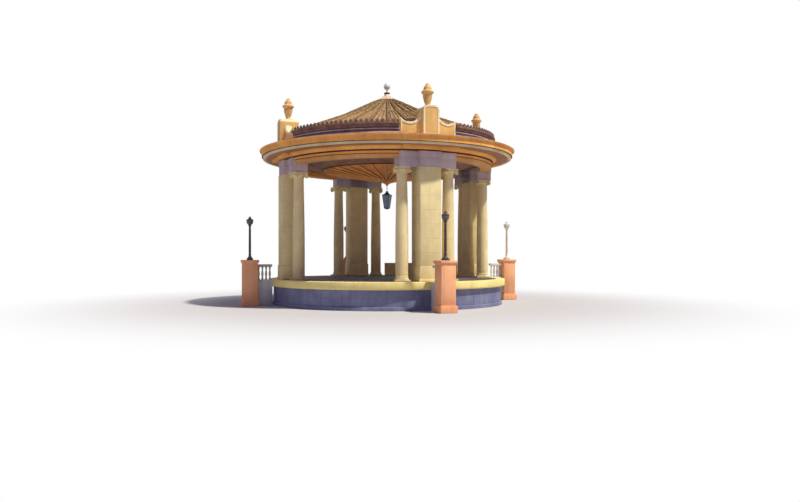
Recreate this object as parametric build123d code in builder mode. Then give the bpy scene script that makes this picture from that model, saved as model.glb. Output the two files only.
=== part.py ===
"""A round park bandstand of stone: a drum platform, four groups of two Ionic columns and a square pier, and a tiled cone roof.

Millimetres, +Z up. The origin is on the ground at the middle of the plan. The four openings face along X and Y,
and the four column groups stand on the diagonals.
"""

import os
from math import asin, atan2, cos, degrees, radians, sin, sqrt

from build123d import *

# The circle that the column groups stand on, and the platform under them, from the ground up
group_circle = 4800
floor_height = 1200
slab_thickness = 330
slab_margin = 900
slab_nosing = 60
base_wall_recess = 200
base_plinth_height = 160
base_plinth_projection = 70

# Columns and piers, with a square plinth, a turned base and an angled Ionic capital on each column
column_spacing = 1080
column_height = 4840
column_foot_diameter = 550
column_neck_diameter = 450
column_plinth_width = 660
column_plinth_height = 70
column_base_height = 180
capital_height = 320
abacus_width = 700
abacus_height = 60
volute_diameter = 200
volute_thickness = 130
volute_span = 640
pier_width = 960
dado_height = 650
dado_projection = 30
pier_foot_height = 120

# The block over each group, and the beam between the blocks
impost_width = 2590
impost_side_depth = 750
impost_centre_width = 980
impost_projection = 200
impost_bed_height = 410
impost_crown_height = 250
impost_crown_step = 25
beam_outer_reach = 280
beam_inner_reach = 250

# The cornice: how far each course stands out from the one under it, and how high it is
cornice_seat = 150
cornice_rest_projection = 20
cornice_rest_height = 60
bed_mould_projection = 220
bed_mould_height = 140
bed_mould_break = 130
soffit_projection = 700
lower_band_height = 90
fascia_projection = 60
fascia_height = 220
crown_projection = 100
crown_height = 60
cornice_slope = 70

# The attic ring over the cornice, and the row of upright tile ends on it
attic_overhang = 70
attic_height = 460
attic_band = 50
attic_projection = 40
eaves_projection = 100
eaves_depth = 250
eaves_height = 90
tile_end_count = 144
tile_end_width = 140
tile_end_height = 150
tile_end_thickness = 60

# The roof, which is steeper above a break in its slope
roof_rise = 1940
roof_eaves_height = 137
roof_break_radius = 2400
roof_break_rise = 1000
roof_top_radius = 500
roof_hole_radius = 250
roof_thickness = 95
roof_roll_count = 36
roof_roll_width = 60
roof_roll_height = 40
cap_height = 340
cap_neck_radius = 115
finial_ring_radius = 150
finial_ring_height = 90
finial_neck_height = 120
finial_ball_diameter = 330
finial_tip_height = 90

# The scrolled parapet over each group, and its urn
parapet_width = 2620
parapet_thickness = 330
parapet_end_height = 740
parapet_end_width = 110
scroll_foot_drop = 60
scroll_low_point = 165
scroll_low_place = 420
scroll_head_drop = 160
parapet_top_height = 1290
pedestal_width = 760
pedestal_shoulder = 230
pedestal_depth = 840
pedestal_forward = 190
urn_foot_diameter = 290
urn_stem_diameter = 200
urn_body_diameter = 430
urn_flange_diameter = 540
urn_body_height = 450
urn_foot_height = 90
urn_flange_height = 110
urn_lid_height = 360
urn_lid_diameter = 400

# The ceiling: a shallow cone that hangs point down, with radial ribs, a pendant boss and a lantern
ceiling_thickness = 60
ceiling_point_drop = 720
ceiling_rim_drop = 280
ceiling_flat_width = 300
ceiling_margin_width = 1100
ceiling_seat = 140
rib_count = 32
rib_width = 50
rib_depth = 70
boss_radius = 420
ceiling_lap = 60
boss_height = 230
boss_foot_radius = 70
rod_length = 300
rod_diameter = 40
lantern_height = 880
lantern_width = 370
lantern_roof_height = 180
lantern_base_height = 60
lantern_bar = 30

# The parapet across the back opening
back_wall_height = 700
back_wall_thickness = 240
back_coping_height = 90
back_coping_overhang = 30

# The lamp wing that runs out from each group, with its end pedestal and lamp standard
wing_reach = 1000
wing_pedestal_width = 640
wing_pedestal_height = 900
wing_foot_height = 300
wing_foot_projection = 60
wing_cap_height = 110
wing_cap_overhang = 50
wing_wall_thickness = 340
wing_rail_height = 700
wing_rail_thickness = 120
wing_rail_width = 260
baluster_width = 90
baluster_count = 4
lamp_height = 2000
lamp_base_width = 260
lamp_base_height = 260
lamp_post_diameter = 110
lamp_head_diameter = 330
lamp_head_height = 420

# Round courses are made of straight stones, one after another, and turned pieces of flat sides
stones_round = 48
turned_sides = 12
group_names = ("front_right", "back_right", "back_left", "front_left")
group_angles = (-45, 45, 135, 225)

# Radii, each from the one that it follows
slab_radius = group_circle + slab_margin
base_wall_radius = slab_radius - base_wall_recess
wing_pedestal_radius = slab_radius + wing_reach
beam_outer_radius = group_circle + beam_outer_reach
beam_inner_radius = group_circle - beam_inner_reach
cornice_inner_radius = beam_inner_radius + cornice_seat
cornice_rest_radius = beam_outer_radius + cornice_rest_projection
bed_mould_radius = beam_outer_radius + bed_mould_projection
soffit_radius = bed_mould_radius + soffit_projection
fascia_radius = soffit_radius + fascia_projection
cornice_radius = fascia_radius + crown_projection
attic_radius = beam_outer_radius + attic_overhang
eaves_radius = attic_radius + eaves_projection
eaves_inner_radius = eaves_radius - eaves_depth
parapet_back_radius = attic_radius - parapet_thickness
pedestal_front = attic_radius + pedestal_forward
pedestal_centre = pedestal_front - pedestal_depth / 2
ceiling_margin_radius = beam_inner_radius - ceiling_flat_width
ceiling_rim_radius = ceiling_margin_radius - ceiling_margin_width

# Heights above the ground
column_angle = degrees(asin(column_spacing / group_circle))
column_circle = group_circle * cos(radians(column_angle))
impost_base = floor_height + column_height
impost_top = impost_base + impost_bed_height + impost_crown_height
cornice_bed = impost_top + cornice_rest_height
cornice_soffit = cornice_bed + bed_mould_height
fascia_base = cornice_soffit + lower_band_height
crown_base = fascia_base + fascia_height
cornice_top = crown_base + crown_height + cornice_slope
attic_top = cornice_top + attic_height
roof_edge = attic_top + roof_eaves_height
roof_break = roof_edge + roof_break_rise
roof_top = roof_edge + roof_rise
ceiling_rim = impost_top - ceiling_rim_drop
ceiling_point = impost_top - ceiling_point_drop


def group_plane(angle, height, radius=0):
    """A level plane on a group's axis, with its y direction pointing straight out from the middle."""
    out = Vector(cos(radians(angle)), sin(radians(angle)), 0)
    return Plane(
        origin=out * radius + Vector(0, 0, height),
        x_dir=(out.Y, -out.X, 0),
        z_dir=(0, 0, 1),
    )


def standing_plane(angle, radius):
    """An upright plane across a group's axis, with its x direction along the circle and its y direction up."""
    out = Vector(cos(radians(angle)), sin(radians(angle)), 0)
    return Plane(origin=out * radius, x_dir=(-out.Y, out.X, 0), z_dir=out)


def radial_plane(angle):
    """An upright plane through the middle of the plan, with its x direction pointing out and its y direction up."""
    out = Vector(cos(radians(angle)), sin(radians(angle)), 0)
    return Plane(origin=(0, 0, 0), x_dir=out, z_dir=(out.Y, -out.X, 0))


def stone_course(radius, flats=stones_round):
    """The closed path round the plan that a course of straight stones follows."""
    corners = [Vector(radius, 0).rotate(Axis.Z, 360 / flats * (i + 0.5)) for i in range(flats)]
    with BuildLine() as path:
        Polyline(*corners, close=True)
    return path.line


def round_plan(radius, mode=Mode.ADD):
    """Draw a disc of straight stones in the sketch being built, its flats in line with those of the courses."""
    RegularPolygon(radius, stones_round, major_radius=False, rotation=180 / stones_round, mode=mode)


def turned(sections, sides=turned_sides, mode=Mode.ADD):
    """Add a turned form on Z to the part being built: a flat-sided length between each (height, diameter) and the next.

    Each length is drawn at its wider end and drawn in towards the narrower one, and one that widens upwards is made
    upside down and turned over, so that all its faces are flat.
    """
    with BuildPart(mode=Mode.PRIVATE) as form:
        for (low, below), (high, above) in zip(sections, sections[1:]):
            with BuildPart(mode=Mode.PRIVATE) as length:
                with BuildSketch(Plane.XY.offset(low if below >= above else -high)):
                    RegularPolygon(max(below, above) / 2, sides, major_radius=False, rotation=180 / sides)
                extrude(amount=high - low, taper=degrees(atan2(abs(below - above) / 2, high - low)))
            add(length.part if below >= above else length.part.mirror(Plane.XY))
    add(form.part, mode=mode)


def save(part, name):
    """Label one finished piece and write it to its own file."""
    part.label = name
    export_step(part, f"parts/{name}.step")


os.makedirs("parts", exist_ok=True)

# The platform: a round base wall on a plinth, and the slab with its nosing
with BuildPart() as foundation:
    with BuildSketch():
        round_plan(base_wall_radius + base_plinth_projection)
    extrude(amount=base_plinth_height)
    with BuildSketch(Plane.XY.offset(base_plinth_height)):
        round_plan(base_wall_radius)
    extrude(amount=floor_height - slab_thickness - base_plinth_height)
save(foundation.part, "foundation")

with BuildPart() as platform_slab:
    with BuildSketch(Plane.XY.offset(floor_height - slab_thickness)):
        round_plan(slab_radius)
    extrude(amount=slab_thickness)
    chamfer(platform_slab.edges().group_by(Axis.Z)[0], slab_nosing)
save(platform_slab.part, "platform_slab")

# One pier: a foot, a dado and the plain shaft
for name, angle in zip(group_names, group_angles):
    with BuildPart() as pier:
        with BuildSketch(group_plane(angle, floor_height, group_circle)):
            Rectangle(pier_width + 4 * dado_projection, pier_width + 4 * dado_projection)
        extrude(amount=pier_foot_height)
        with BuildSketch(group_plane(angle, floor_height, group_circle)):
            Rectangle(pier_width + 2 * dado_projection, pier_width + 2 * dado_projection)
        extrude(amount=dado_height)
        with BuildSketch(group_plane(angle, floor_height, group_circle)):
            Rectangle(pier_width, pier_width)
        extrude(amount=column_height)
    save(pier.part, f"pier_{name}")

# One column: a square plinth, a turned base, and a shaft that narrows towards the neck
shaft_height = column_height - capital_height
astragal_height = 40
with BuildPart() as column:
    with BuildSketch():
        Rectangle(column_plinth_width, column_plinth_width)
    extrude(amount=column_plinth_height)
    turned(
        (
            (column_plinth_height, column_plinth_width - 40),
            (column_plinth_height + 45, column_plinth_width - 10),
            (column_base_height - 30, column_foot_diameter + 50),
            (column_base_height, column_foot_diameter + 40),
            (column_base_height + 30, column_foot_diameter),
            (column_height / 3, column_foot_diameter - 10),
            (shaft_height - astragal_height, column_neck_diameter),
            (shaft_height - astragal_height / 2, column_neck_diameter + 40),
            (shaft_height, column_neck_diameter + 20),
        )
    )

# One capital: a bell, four scrolls that look out over the corners, and the abacus
bell_height = capital_height - abacus_height
volute_reach = volute_span / 2 * sqrt(2) * 0.8
with BuildPart() as capital:
    turned(
        (
            (0, column_neck_diameter),
            (bell_height / 2, column_neck_diameter + 20),
            (bell_height * 0.75, column_neck_diameter + 120),
            (bell_height, column_neck_diameter + 80),
        )
    )
    with BuildSketch(Plane.XY.offset(bell_height)):
        Rectangle(abacus_width, abacus_width)
        chamfer(vertices(), abacus_width / 12)
    extrude(amount=abacus_height)
    for corner in (45, 135, 225, 315):
        with BuildSketch(radial_plane(corner)):
            with Locations((volute_reach, bell_height - volute_diameter / 2)):
                RegularPolygon(volute_diameter / 2, 12, major_radius=False)
        extrude(amount=volute_thickness / 2, both=True)

# Two columns stand beside each pier
for name, angle in zip(group_names, group_angles):
    left = group_plane(angle - column_angle, floor_height, group_circle)
    right = group_plane(angle + column_angle, floor_height, group_circle)
    with BuildPart() as columns:
        with Locations(left, right):
            add(column.part)
    save(columns.part, f"columns_{name}")
    with BuildPart() as capitals:
        with Locations(left.offset(shaft_height), right.offset(shaft_height)):
            add(capital.part)
    save(capitals.part, f"capitals_{name}")

# The block over each group, stepped forward over the pier
for name, angle in zip(group_names, group_angles):
    with BuildPart() as impost:
        for base, height, step in (
            (impost_base, impost_bed_height, 0),
            (impost_base + impost_bed_height, impost_crown_height, impost_crown_step),
        ):
            with BuildSketch(group_plane(angle, base)):
                with Locations((0, column_circle)):
                    Rectangle(impost_width, impost_side_depth + 2 * step)
                with Locations((0, column_circle + impost_projection / 2)):
                    Rectangle(impost_centre_width + 2 * step, impost_side_depth + impost_projection + 2 * step)
            extrude(amount=height)
    save(impost.part, f"impost_{name}")

# The beam round the plan, cut off at the blocks, so that one length is left over each opening
with BuildPart() as beam:
    with BuildSketch(Plane.XZ):
        with BuildLine():
            Polyline(
                (beam_inner_radius, impost_top - impost_crown_height),
                (beam_outer_radius - impost_crown_step, impost_top - impost_crown_height),
                (beam_outer_radius - impost_crown_step, impost_top - impost_crown_height / 2),
                (beam_outer_radius, impost_top - impost_crown_height / 2),
                (beam_outer_radius, impost_top),
                (beam_inner_radius, impost_top),
                close=True,
            )
        make_face()
    sweep(path=stone_course(group_circle), transition=Transition.RIGHT)
    for angle in group_angles:
        with BuildSketch(group_plane(angle, impost_base)):
            with Locations((0, group_circle)):
                Rectangle(impost_width, 3 * impost_side_depth)
        extrude(amount=column_height, mode=Mode.SUBTRACT)
beams_by_x = beam.part.solids().sort_by(Axis.X)
beams_by_y = beam.part.solids().sort_by(Axis.Y)
save(beams_by_x[-1], "beam_right")
save(beams_by_x[0], "beam_left")
save(beams_by_y[0], "beam_front")
save(beams_by_y[-1], "beam_back")

# The cornice, which breaks forward a little over each group
with BuildPart() as cornice:
    with BuildSketch(Plane.XZ):
        with BuildLine():
            Polyline(
                (cornice_inner_radius, impost_top),
                (cornice_rest_radius, impost_top),
                (cornice_rest_radius, cornice_bed),
                (bed_mould_radius - bed_mould_height, cornice_bed),
                (bed_mould_radius, cornice_soffit),
                (soffit_radius, cornice_soffit),
                (soffit_radius, fascia_base),
                (fascia_radius, fascia_base),
                (fascia_radius, crown_base),
                (cornice_radius, crown_base + crown_height),
                (attic_radius + 2 * attic_projection, cornice_top),
                (cornice_inner_radius, cornice_top),
                close=True,
            )
        make_face()
    sweep(path=stone_course(group_circle), transition=Transition.RIGHT)
    for angle in group_angles:
        with BuildSketch(group_plane(angle, cornice_bed)):
            with Locations((0, (group_circle + bed_mould_radius + bed_mould_break) / 2)):
                Rectangle(impost_width, bed_mould_radius + bed_mould_break - group_circle)
        extrude(amount=bed_mould_height)
save(cornice.part, "cornice")

# What each parapet takes out of the attic ring, the eaves and the roof
notches = []
for angle in group_angles:
    with BuildPart() as notch:
        with BuildSketch(group_plane(angle, cornice_top)):
            with Locations((0, group_circle)):
                Rectangle(parapet_width, 2 * group_circle - 2 * roof_hole_radius)
            round_plan(parapet_back_radius, Mode.SUBTRACT)
            with Locations((0, group_circle)):
                Rectangle(pedestal_width, 2 * (group_circle - pedestal_front + pedestal_depth))
        extrude(amount=roof_rise + attic_height)
    notches.append(notch.part)

with BuildPart() as attic:
    with BuildSketch(Plane.XZ):
        with BuildLine():
            Polyline(
                (cornice_inner_radius, cornice_top),
                (attic_radius + attic_projection, cornice_top),
                (attic_radius + attic_projection, cornice_top + attic_band),
                (attic_radius, cornice_top + attic_band + attic_projection),
                (attic_radius, attic_top - attic_band - attic_projection),
                (attic_radius + attic_projection, attic_top - attic_band),
                (attic_radius + attic_projection, attic_top),
                (cornice_inner_radius, attic_top),
                close=True,
            )
        make_face()
    sweep(path=stone_course(group_circle), transition=Transition.RIGHT)
    for notch in notches:
        add(notch, mode=Mode.SUBTRACT)
save(attic.part, "attic_ring")

with BuildPart() as eaves:
    with BuildSketch(Plane.XZ):
        with BuildLine():
            Polyline(
                (eaves_inner_radius, attic_top),
                (eaves_radius, attic_top),
                (eaves_radius, attic_top + eaves_height),
                (eaves_inner_radius, roof_edge),
                close=True,
            )
        make_face()
    sweep(path=stone_course(group_circle), transition=Transition.RIGHT)
    tile_end_seats = PolarLocations(eaves_radius - tile_end_thickness, tile_end_count)
    with BuildSketch(Plane.XY.offset(attic_top + eaves_height / 2)):
        with tile_end_seats:
            Rectangle(tile_end_thickness, tile_end_width)
    extrude(amount=eaves_height / 2 + tile_end_height)
    for notch in notches:
        add(notch, mode=Mode.SUBTRACT)
save(eaves.part, "eaves_tiles")

# The roof: a shell on the attic ring, steeper above a break, with rolls running up it to the cap
lower_slope = roof_break_rise / (eaves_inner_radius - roof_break_radius)
upper_slope = (roof_rise - roof_break_rise) / (roof_break_radius - roof_top_radius)
roof_hang = roof_thickness * sqrt(1 + upper_slope**2)
roof_seat_radius = cornice_inner_radius + 20
with BuildPart() as roof_roll:
    with BuildSketch(Plane.XZ):
        with BuildLine():
            Polyline(
                (eaves_inner_radius, roof_edge - roof_thickness / 2),
                (eaves_inner_radius, roof_edge + roof_roll_height),
                (roof_break_radius, roof_break + roof_roll_height),
                (roof_top_radius + 10, roof_top + roof_roll_height - 10),
                (roof_top_radius + 10, roof_top - roof_thickness / 2),
                (roof_break_radius, roof_break - roof_thickness / 2),
                close=True,
            )
        make_face()
    extrude(amount=roof_roll_width / 2, both=True)

with BuildPart() as roof:
    with BuildSketch(Plane.XZ):
        with BuildLine():
            Polyline(
                (roof_seat_radius, attic_top),
                (eaves_inner_radius, attic_top),
                (eaves_inner_radius, roof_edge),
                (roof_break_radius, roof_break),
                (roof_top_radius, roof_top),
                (roof_hole_radius, roof_top),
                (roof_hole_radius, roof_top - roof_hang),
                (roof_top_radius, roof_top - roof_hang),
                (roof_break_radius, roof_break - roof_hang),
                (roof_seat_radius, roof_edge - roof_hang + (eaves_inner_radius - roof_seat_radius) * lower_slope),
                close=True,
            )
        make_face()
    sweep(path=stone_course(group_circle), transition=Transition.RIGHT)
    with PolarLocations(0, roof_roll_count, start_angle=180 / roof_roll_count):
        add(roof_roll.part)
    for notch in notches:
        add(notch, mode=Mode.SUBTRACT)
save(roof.part, "roof_shell")

# The flared cap, and the ring, the neck, the ball and the tip on it
cap_rim = 2 * roof_top_radius
with BuildPart() as cap:
    turned(
        (
            (0, cap_rim),
            (cap_height * 0.12, cap_rim * 0.96),
            (cap_height * 0.35, cap_rim * 0.66),
            (cap_height * 0.65, cap_rim * 0.38),
            (cap_height, 2 * cap_neck_radius),
        ),
        stones_round // 2,
    )
save(Location((0, 0, roof_top)) * cap.part, "roof_cap")

ball_base = finial_ring_height + finial_neck_height
with BuildPart() as finial:
    turned(
        (
            (0, 2 * cap_neck_radius),
            (finial_ring_height * 0.35, 2 * finial_ring_radius),
            (finial_ring_height * 0.65, 2 * finial_ring_radius),
            (finial_ring_height, cap_neck_radius),
            (ball_base, cap_neck_radius * 0.8),
            (ball_base + finial_ball_diameter * 0.12, finial_ball_diameter * 0.65),
            (ball_base + finial_ball_diameter * 0.3, finial_ball_diameter * 0.92),
            (ball_base + finial_ball_diameter * 0.5, finial_ball_diameter),
            (ball_base + finial_ball_diameter * 0.7, finial_ball_diameter * 0.92),
            (ball_base + finial_ball_diameter * 0.88, finial_ball_diameter * 0.65),
            (ball_base + finial_ball_diameter, finial_ball_diameter * 0.2),
            (ball_base + finial_ball_diameter + finial_tip_height, finial_ball_diameter * 0.06),
        )
    )
save(Location((0, 0, roof_top + cap_height)) * finial.part, "roof_finial")

# The scrolled parapet: its outline is cut from a curved wall, and the pedestal stands through the middle of it
half_width = parapet_width / 2
half_pedestal = pedestal_width / 2
scroll_start = half_width - parapet_end_width
scroll_foot = parapet_end_height - scroll_foot_drop
scroll_head = parapet_top_height - scroll_head_drop
for name, angle in zip(group_names, group_angles):
    with BuildPart() as parapet:
        with BuildSketch(standing_plane(angle, 0)):
            for side in (-1, 1):
                with BuildLine():
                    wing_scroll = ThreePointArc(
                        (side * scroll_start, scroll_foot),
                        (side * (half_width - scroll_low_place), parapet_end_height - scroll_low_point),
                        (side * half_pedestal, scroll_head),
                    )
                    Polyline(
                        wing_scroll @ 1,
                        (0, scroll_head),
                        (0, 0),
                        (side * half_width, 0),
                        (side * half_width, parapet_end_height),
                        (side * scroll_start, parapet_end_height),
                        wing_scroll @ 0,
                    )
                make_face()
        extrude(amount=2 * group_circle)
        with BuildSketch():
            round_plan(attic_radius)
            round_plan(parapet_back_radius, Mode.SUBTRACT)
        extrude(amount=parapet_top_height, mode=Mode.INTERSECT)
    with BuildPart() as standing:
        add(Location((0, 0, cornice_top)) * parapet.part)
        with BuildSketch(standing_plane(angle, pedestal_front - pedestal_depth)):
            with Locations((0, cornice_top + parapet_top_height / 2)):
                Rectangle(pedestal_width, parapet_top_height)
            fillet(vertices().group_by(Axis.Z)[-1], pedestal_shoulder)
        extrude(amount=pedestal_depth)
    save(standing.part, f"parapet_{name}")

# One urn: a foot, a narrow stem, a body that widens to a flange, and a bell-shaped lid
urn_flange_base = urn_foot_height + urn_body_height
urn_lid_base = urn_flange_base + urn_flange_height
with BuildPart() as urn:
    turned(
        (
            (0, urn_foot_diameter),
            (urn_foot_height * 0.5, urn_foot_diameter),
            (urn_foot_height, urn_stem_diameter),
            (urn_foot_height + urn_body_height * 0.35, urn_body_diameter * 0.82),
            (urn_flange_base, urn_body_diameter),
            (urn_flange_base + urn_flange_height * 0.4, urn_flange_diameter),
            (urn_flange_base + urn_flange_height * 0.6, urn_flange_diameter),
            (urn_lid_base, urn_lid_diameter),
            (urn_lid_base + urn_lid_height * 0.25, urn_lid_diameter * 0.82),
            (urn_lid_base + urn_lid_height * 0.6, urn_lid_diameter * 0.5),
            (urn_lid_base + urn_lid_height * 0.8, urn_lid_diameter * 0.36),
            (urn_lid_base + urn_lid_height, urn_lid_diameter * 0.12),
        )
    )

# An urn on each pedestal
urn_seat = cornice_top + parapet_top_height
with BuildPart() as urns:
    with Locations(*[group_plane(angle, urn_seat, pedestal_centre) for angle in group_angles]):
        add(urn.part)
save(urns.part, "urns")

# The ceiling: its margin lies on the beams, it hangs down to the boss in the middle, and every other flat has a rib
ceiling_flats = 2 * rib_count
with BuildPart() as ceiling:
    with BuildSketch(Plane.XZ):
        with BuildLine():
            Polyline(
                (boss_radius - ceiling_lap, ceiling_point),
                (boss_radius, ceiling_point),
                (ceiling_rim_radius, ceiling_rim),
                (ceiling_margin_radius, impost_top),
                (beam_inner_radius + ceiling_seat, impost_top),
                (beam_inner_radius + ceiling_seat, impost_top + ceiling_thickness),
                (ceiling_margin_radius, impost_top + ceiling_thickness),
                (ceiling_rim_radius, ceiling_rim + ceiling_thickness),
                (boss_radius, ceiling_point + ceiling_thickness),
                (boss_radius - ceiling_lap, ceiling_point + ceiling_thickness),
                close=True,
            )
        make_face()
    sweep(path=stone_course(ceiling_rim_radius, ceiling_flats), transition=Transition.RIGHT)
save(ceiling.part, "ceiling")

# One rib under the ceiling, and the ring of them
with BuildPart() as rib:
    with BuildSketch(Plane.XZ):
        with BuildLine():
            Polyline(
                (boss_radius, ceiling_point),
                (ceiling_rim_radius, ceiling_rim),
                (ceiling_rim_radius, ceiling_rim - rib_depth),
                (boss_radius, ceiling_point - rib_depth),
                close=True,
            )
        make_face()
    extrude(amount=rib_width / 2, both=True)
with BuildPart() as ribs:
    with PolarLocations(0, rib_count):
        add(rib.part)
save(ribs.part, "ceiling_ribs")

# The boss closes the middle of the ceiling, and the ribs end on its edge
with BuildPart() as boss:
    turned(
        (
            (0, 2 * boss_foot_radius),
            (boss_height * 0.3, 2.6 * boss_foot_radius),
            (boss_height * 0.4, boss_radius * 0.9),
            (boss_height - rib_depth, boss_radius * 1.8),
            (boss_height - rib_depth * 0.8, 2 * boss_radius),
            (boss_height, 2 * boss_radius),
        ),
        ceiling_flats,
    )
boss_base = ceiling_point - boss_height
save(Location((0, 0, boss_base)) * boss.part, "ceiling_boss")

# The lantern: a rod, a hipped top, four corner bars and a base, with the glass inside them
lantern_top = boss_base - rod_length
lantern_base = lantern_top - lantern_height
lantern_sill = lantern_base + lantern_base_height
lantern_eaves = lantern_top - lantern_roof_height
glass_foot = lantern_width * 0.62
with BuildPart() as lantern:
    turned(((lantern_base, lantern_width * 0.7), (lantern_sill, lantern_width * 0.7)), 4)
    turned(((lantern_sill, glass_foot), (lantern_eaves, lantern_width)), 4)
    turned(((lantern_sill, glass_foot - lantern_bar), (lantern_eaves, lantern_width - lantern_bar)), 4, Mode.SUBTRACT)
    for plane in (Plane.XZ, Plane.YZ):
        with BuildSketch(plane):
            with Locations((0, (lantern_sill + lantern_eaves) / 2)):
                Rectangle(glass_foot - 2 * lantern_bar, lantern_eaves - lantern_sill - 2 * lantern_bar)
        extrude(amount=lantern_width, both=True, mode=Mode.SUBTRACT)
    turned(((lantern_eaves, lantern_width), (lantern_top, 2 * rod_diameter), (boss_base, rod_diameter)), 4)
save(lantern.part, "lantern_frame")

with BuildPart() as glass:
    turned(((lantern_sill, glass_foot - lantern_bar), (lantern_eaves, lantern_width - lantern_bar)), 4)
save(glass.part, "lantern_glass")

# The low wall across the back opening, between the columns
back_wall_end = Vector(0, group_circle).rotate(Axis.Z, 45 - column_angle)
back_wall_half = abs(back_wall_end.X) - column_plinth_width / 2 * 1.3
with BuildPart() as back_wall:
    with BuildSketch(Plane.XY.offset(floor_height)):
        round_plan(group_circle + back_wall_thickness / 2)
        round_plan(group_circle - back_wall_thickness / 2, Mode.SUBTRACT)
        with Locations((0, group_circle)):
            Rectangle(2 * back_wall_half, group_circle, mode=Mode.INTERSECT)
    extrude(amount=back_wall_height - back_coping_height)
    with BuildSketch(Plane.XY.offset(floor_height + back_wall_height - back_coping_height)):
        round_plan(group_circle + back_wall_thickness / 2 + back_coping_overhang)
        round_plan(group_circle - back_wall_thickness / 2 - back_coping_overhang, Mode.SUBTRACT)
        with Locations((0, group_circle)):
            Rectangle(2 * back_wall_half, group_circle, mode=Mode.INTERSECT)
    extrude(amount=back_coping_height)
save(back_wall.part, "back_wall")

# The lamp wings: a pedestal from the ground, a wall to floor level, and a rail on square balusters
pedestal_top = floor_height + wing_pedestal_height
wing_inner = slab_radius
wing_outer = wing_pedestal_radius - wing_pedestal_width / 2
for name, angle in zip(group_names, group_angles):
    with BuildPart() as wing:
        with BuildSketch(group_plane(angle, 0, wing_pedestal_radius)):
            Rectangle(wing_pedestal_width, wing_pedestal_width)
        extrude(amount=pedestal_top)
        with BuildSketch(group_plane(angle, 0, wing_pedestal_radius)):
            foot_width = wing_pedestal_width + 2 * wing_foot_projection
            Rectangle(foot_width, foot_width)
        extrude(amount=wing_foot_height)
        with BuildSketch(group_plane(angle, pedestal_top - wing_cap_height, wing_pedestal_radius)):
            cap_width = wing_pedestal_width + 2 * wing_cap_overhang
            Rectangle(cap_width, cap_width)
        extrude(amount=wing_cap_height)
        with BuildSketch(group_plane(angle, 0)):
            with Locations((0, (wing_inner + wing_outer) / 2)):
                Rectangle(wing_wall_thickness, wing_outer - wing_inner)
        extrude(amount=floor_height)
        with BuildSketch(group_plane(angle, floor_height + wing_rail_height - wing_rail_thickness)):
            with Locations((0, (wing_inner + wing_outer) / 2)):
                Rectangle(wing_rail_width, wing_outer - wing_inner)
        extrude(amount=wing_rail_thickness)
        baluster_pitch = (wing_outer - wing_inner) / baluster_count
        with BuildSketch(group_plane(angle, floor_height)):
            with Locations((0, (wing_inner + wing_outer) / 2)):
                with GridLocations(1, baluster_pitch, 1, baluster_count):
                    Rectangle(baluster_width, baluster_width)
        extrude(amount=wing_rail_height - wing_rail_thickness)
    save(wing.part, f"lamp_wing_{name}")

# One lamp standard: a flared base, a post and a bell-shaped head with a ball on top
lamp_head_base = lamp_height - lamp_head_height
with BuildPart() as lamp:
    with BuildSketch():
        Rectangle(lamp_base_width, lamp_base_width)
    extrude(amount=lamp_base_height * 0.3)
    turned(
        (
            (lamp_base_height * 0.3, lamp_base_width * 0.9),
            (lamp_base_height, lamp_post_diameter * 1.3),
            (lamp_base_height + 20, lamp_post_diameter),
            (lamp_head_base - 20, lamp_post_diameter * 0.8),
            (lamp_head_base, lamp_post_diameter * 1.2),
            (lamp_head_base + lamp_head_height * 0.1, lamp_head_diameter * 0.55),
            (lamp_head_base + lamp_head_height * 0.55, lamp_head_diameter),
            (lamp_head_base + lamp_head_height * 0.62, lamp_head_diameter),
            (lamp_head_base + lamp_head_height * 0.82, lamp_head_diameter * 0.4),
            (lamp_head_base + lamp_head_height * 0.92, lamp_head_diameter * 0.3),
            (lamp_height, lamp_head_diameter * 0.08),
        )
    )

# A lamp standard on each end pedestal
with BuildPart() as lamps:
    with Locations(*[group_plane(angle, pedestal_top, wing_pedestal_radius) for angle in group_angles]):
        add(lamp.part)
save(lamps.part, "lamp_standards")
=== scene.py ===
"""The looks of a round stone bandstand: carved stone, a tiled roof, a ribbed ceiling, a lantern and lamps.

Metres, +Z up, with the origin on the ground at the middle of the plan. The four openings face along X and
Y, and the four groups of columns stand on the diagonals. A piece that is repeated round the plan is made on
+X, or with its outer side towards +Y, and then copied.
"""

import logging
import math
from collections.abc import Callable
from dataclasses import dataclass, field
from enum import Enum

import bpy
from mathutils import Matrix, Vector

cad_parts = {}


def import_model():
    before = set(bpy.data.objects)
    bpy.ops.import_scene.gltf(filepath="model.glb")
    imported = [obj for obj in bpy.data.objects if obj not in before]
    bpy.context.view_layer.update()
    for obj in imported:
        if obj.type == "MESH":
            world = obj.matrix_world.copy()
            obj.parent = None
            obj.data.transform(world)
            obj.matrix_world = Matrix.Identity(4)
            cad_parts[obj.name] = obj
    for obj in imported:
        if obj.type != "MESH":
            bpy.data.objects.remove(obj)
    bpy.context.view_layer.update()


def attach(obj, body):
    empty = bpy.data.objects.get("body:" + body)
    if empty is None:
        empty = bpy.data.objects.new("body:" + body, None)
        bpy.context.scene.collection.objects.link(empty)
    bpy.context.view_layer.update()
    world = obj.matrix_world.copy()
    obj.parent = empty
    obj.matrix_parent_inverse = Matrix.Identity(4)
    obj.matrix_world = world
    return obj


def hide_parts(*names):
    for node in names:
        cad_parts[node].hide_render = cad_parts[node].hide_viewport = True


log = logging.getLogger("bandstand")
Point = tuple[float, float]
Colour = tuple[float, float, float]
Place = tuple[float, float, float]
Test = Callable[[Vector, Vector], bool]
Mesh = bpy.types.Object
Plug = tuple[bpy.types.Node, str | int]

# The floor's height, the circle that the groups stand on, the columns' distance to each side of a pier,
# and half the turn that the beams, the attic and the eaves have between two groups
FLOOR = 1.2
GROUP_CIRCLE = 4.8
COLUMN_SPACING = 1.08
COLUMN_TURN = math.degrees(math.asin(COLUMN_SPACING / GROUP_CIRCLE))
OPENING = 30.3


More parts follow.
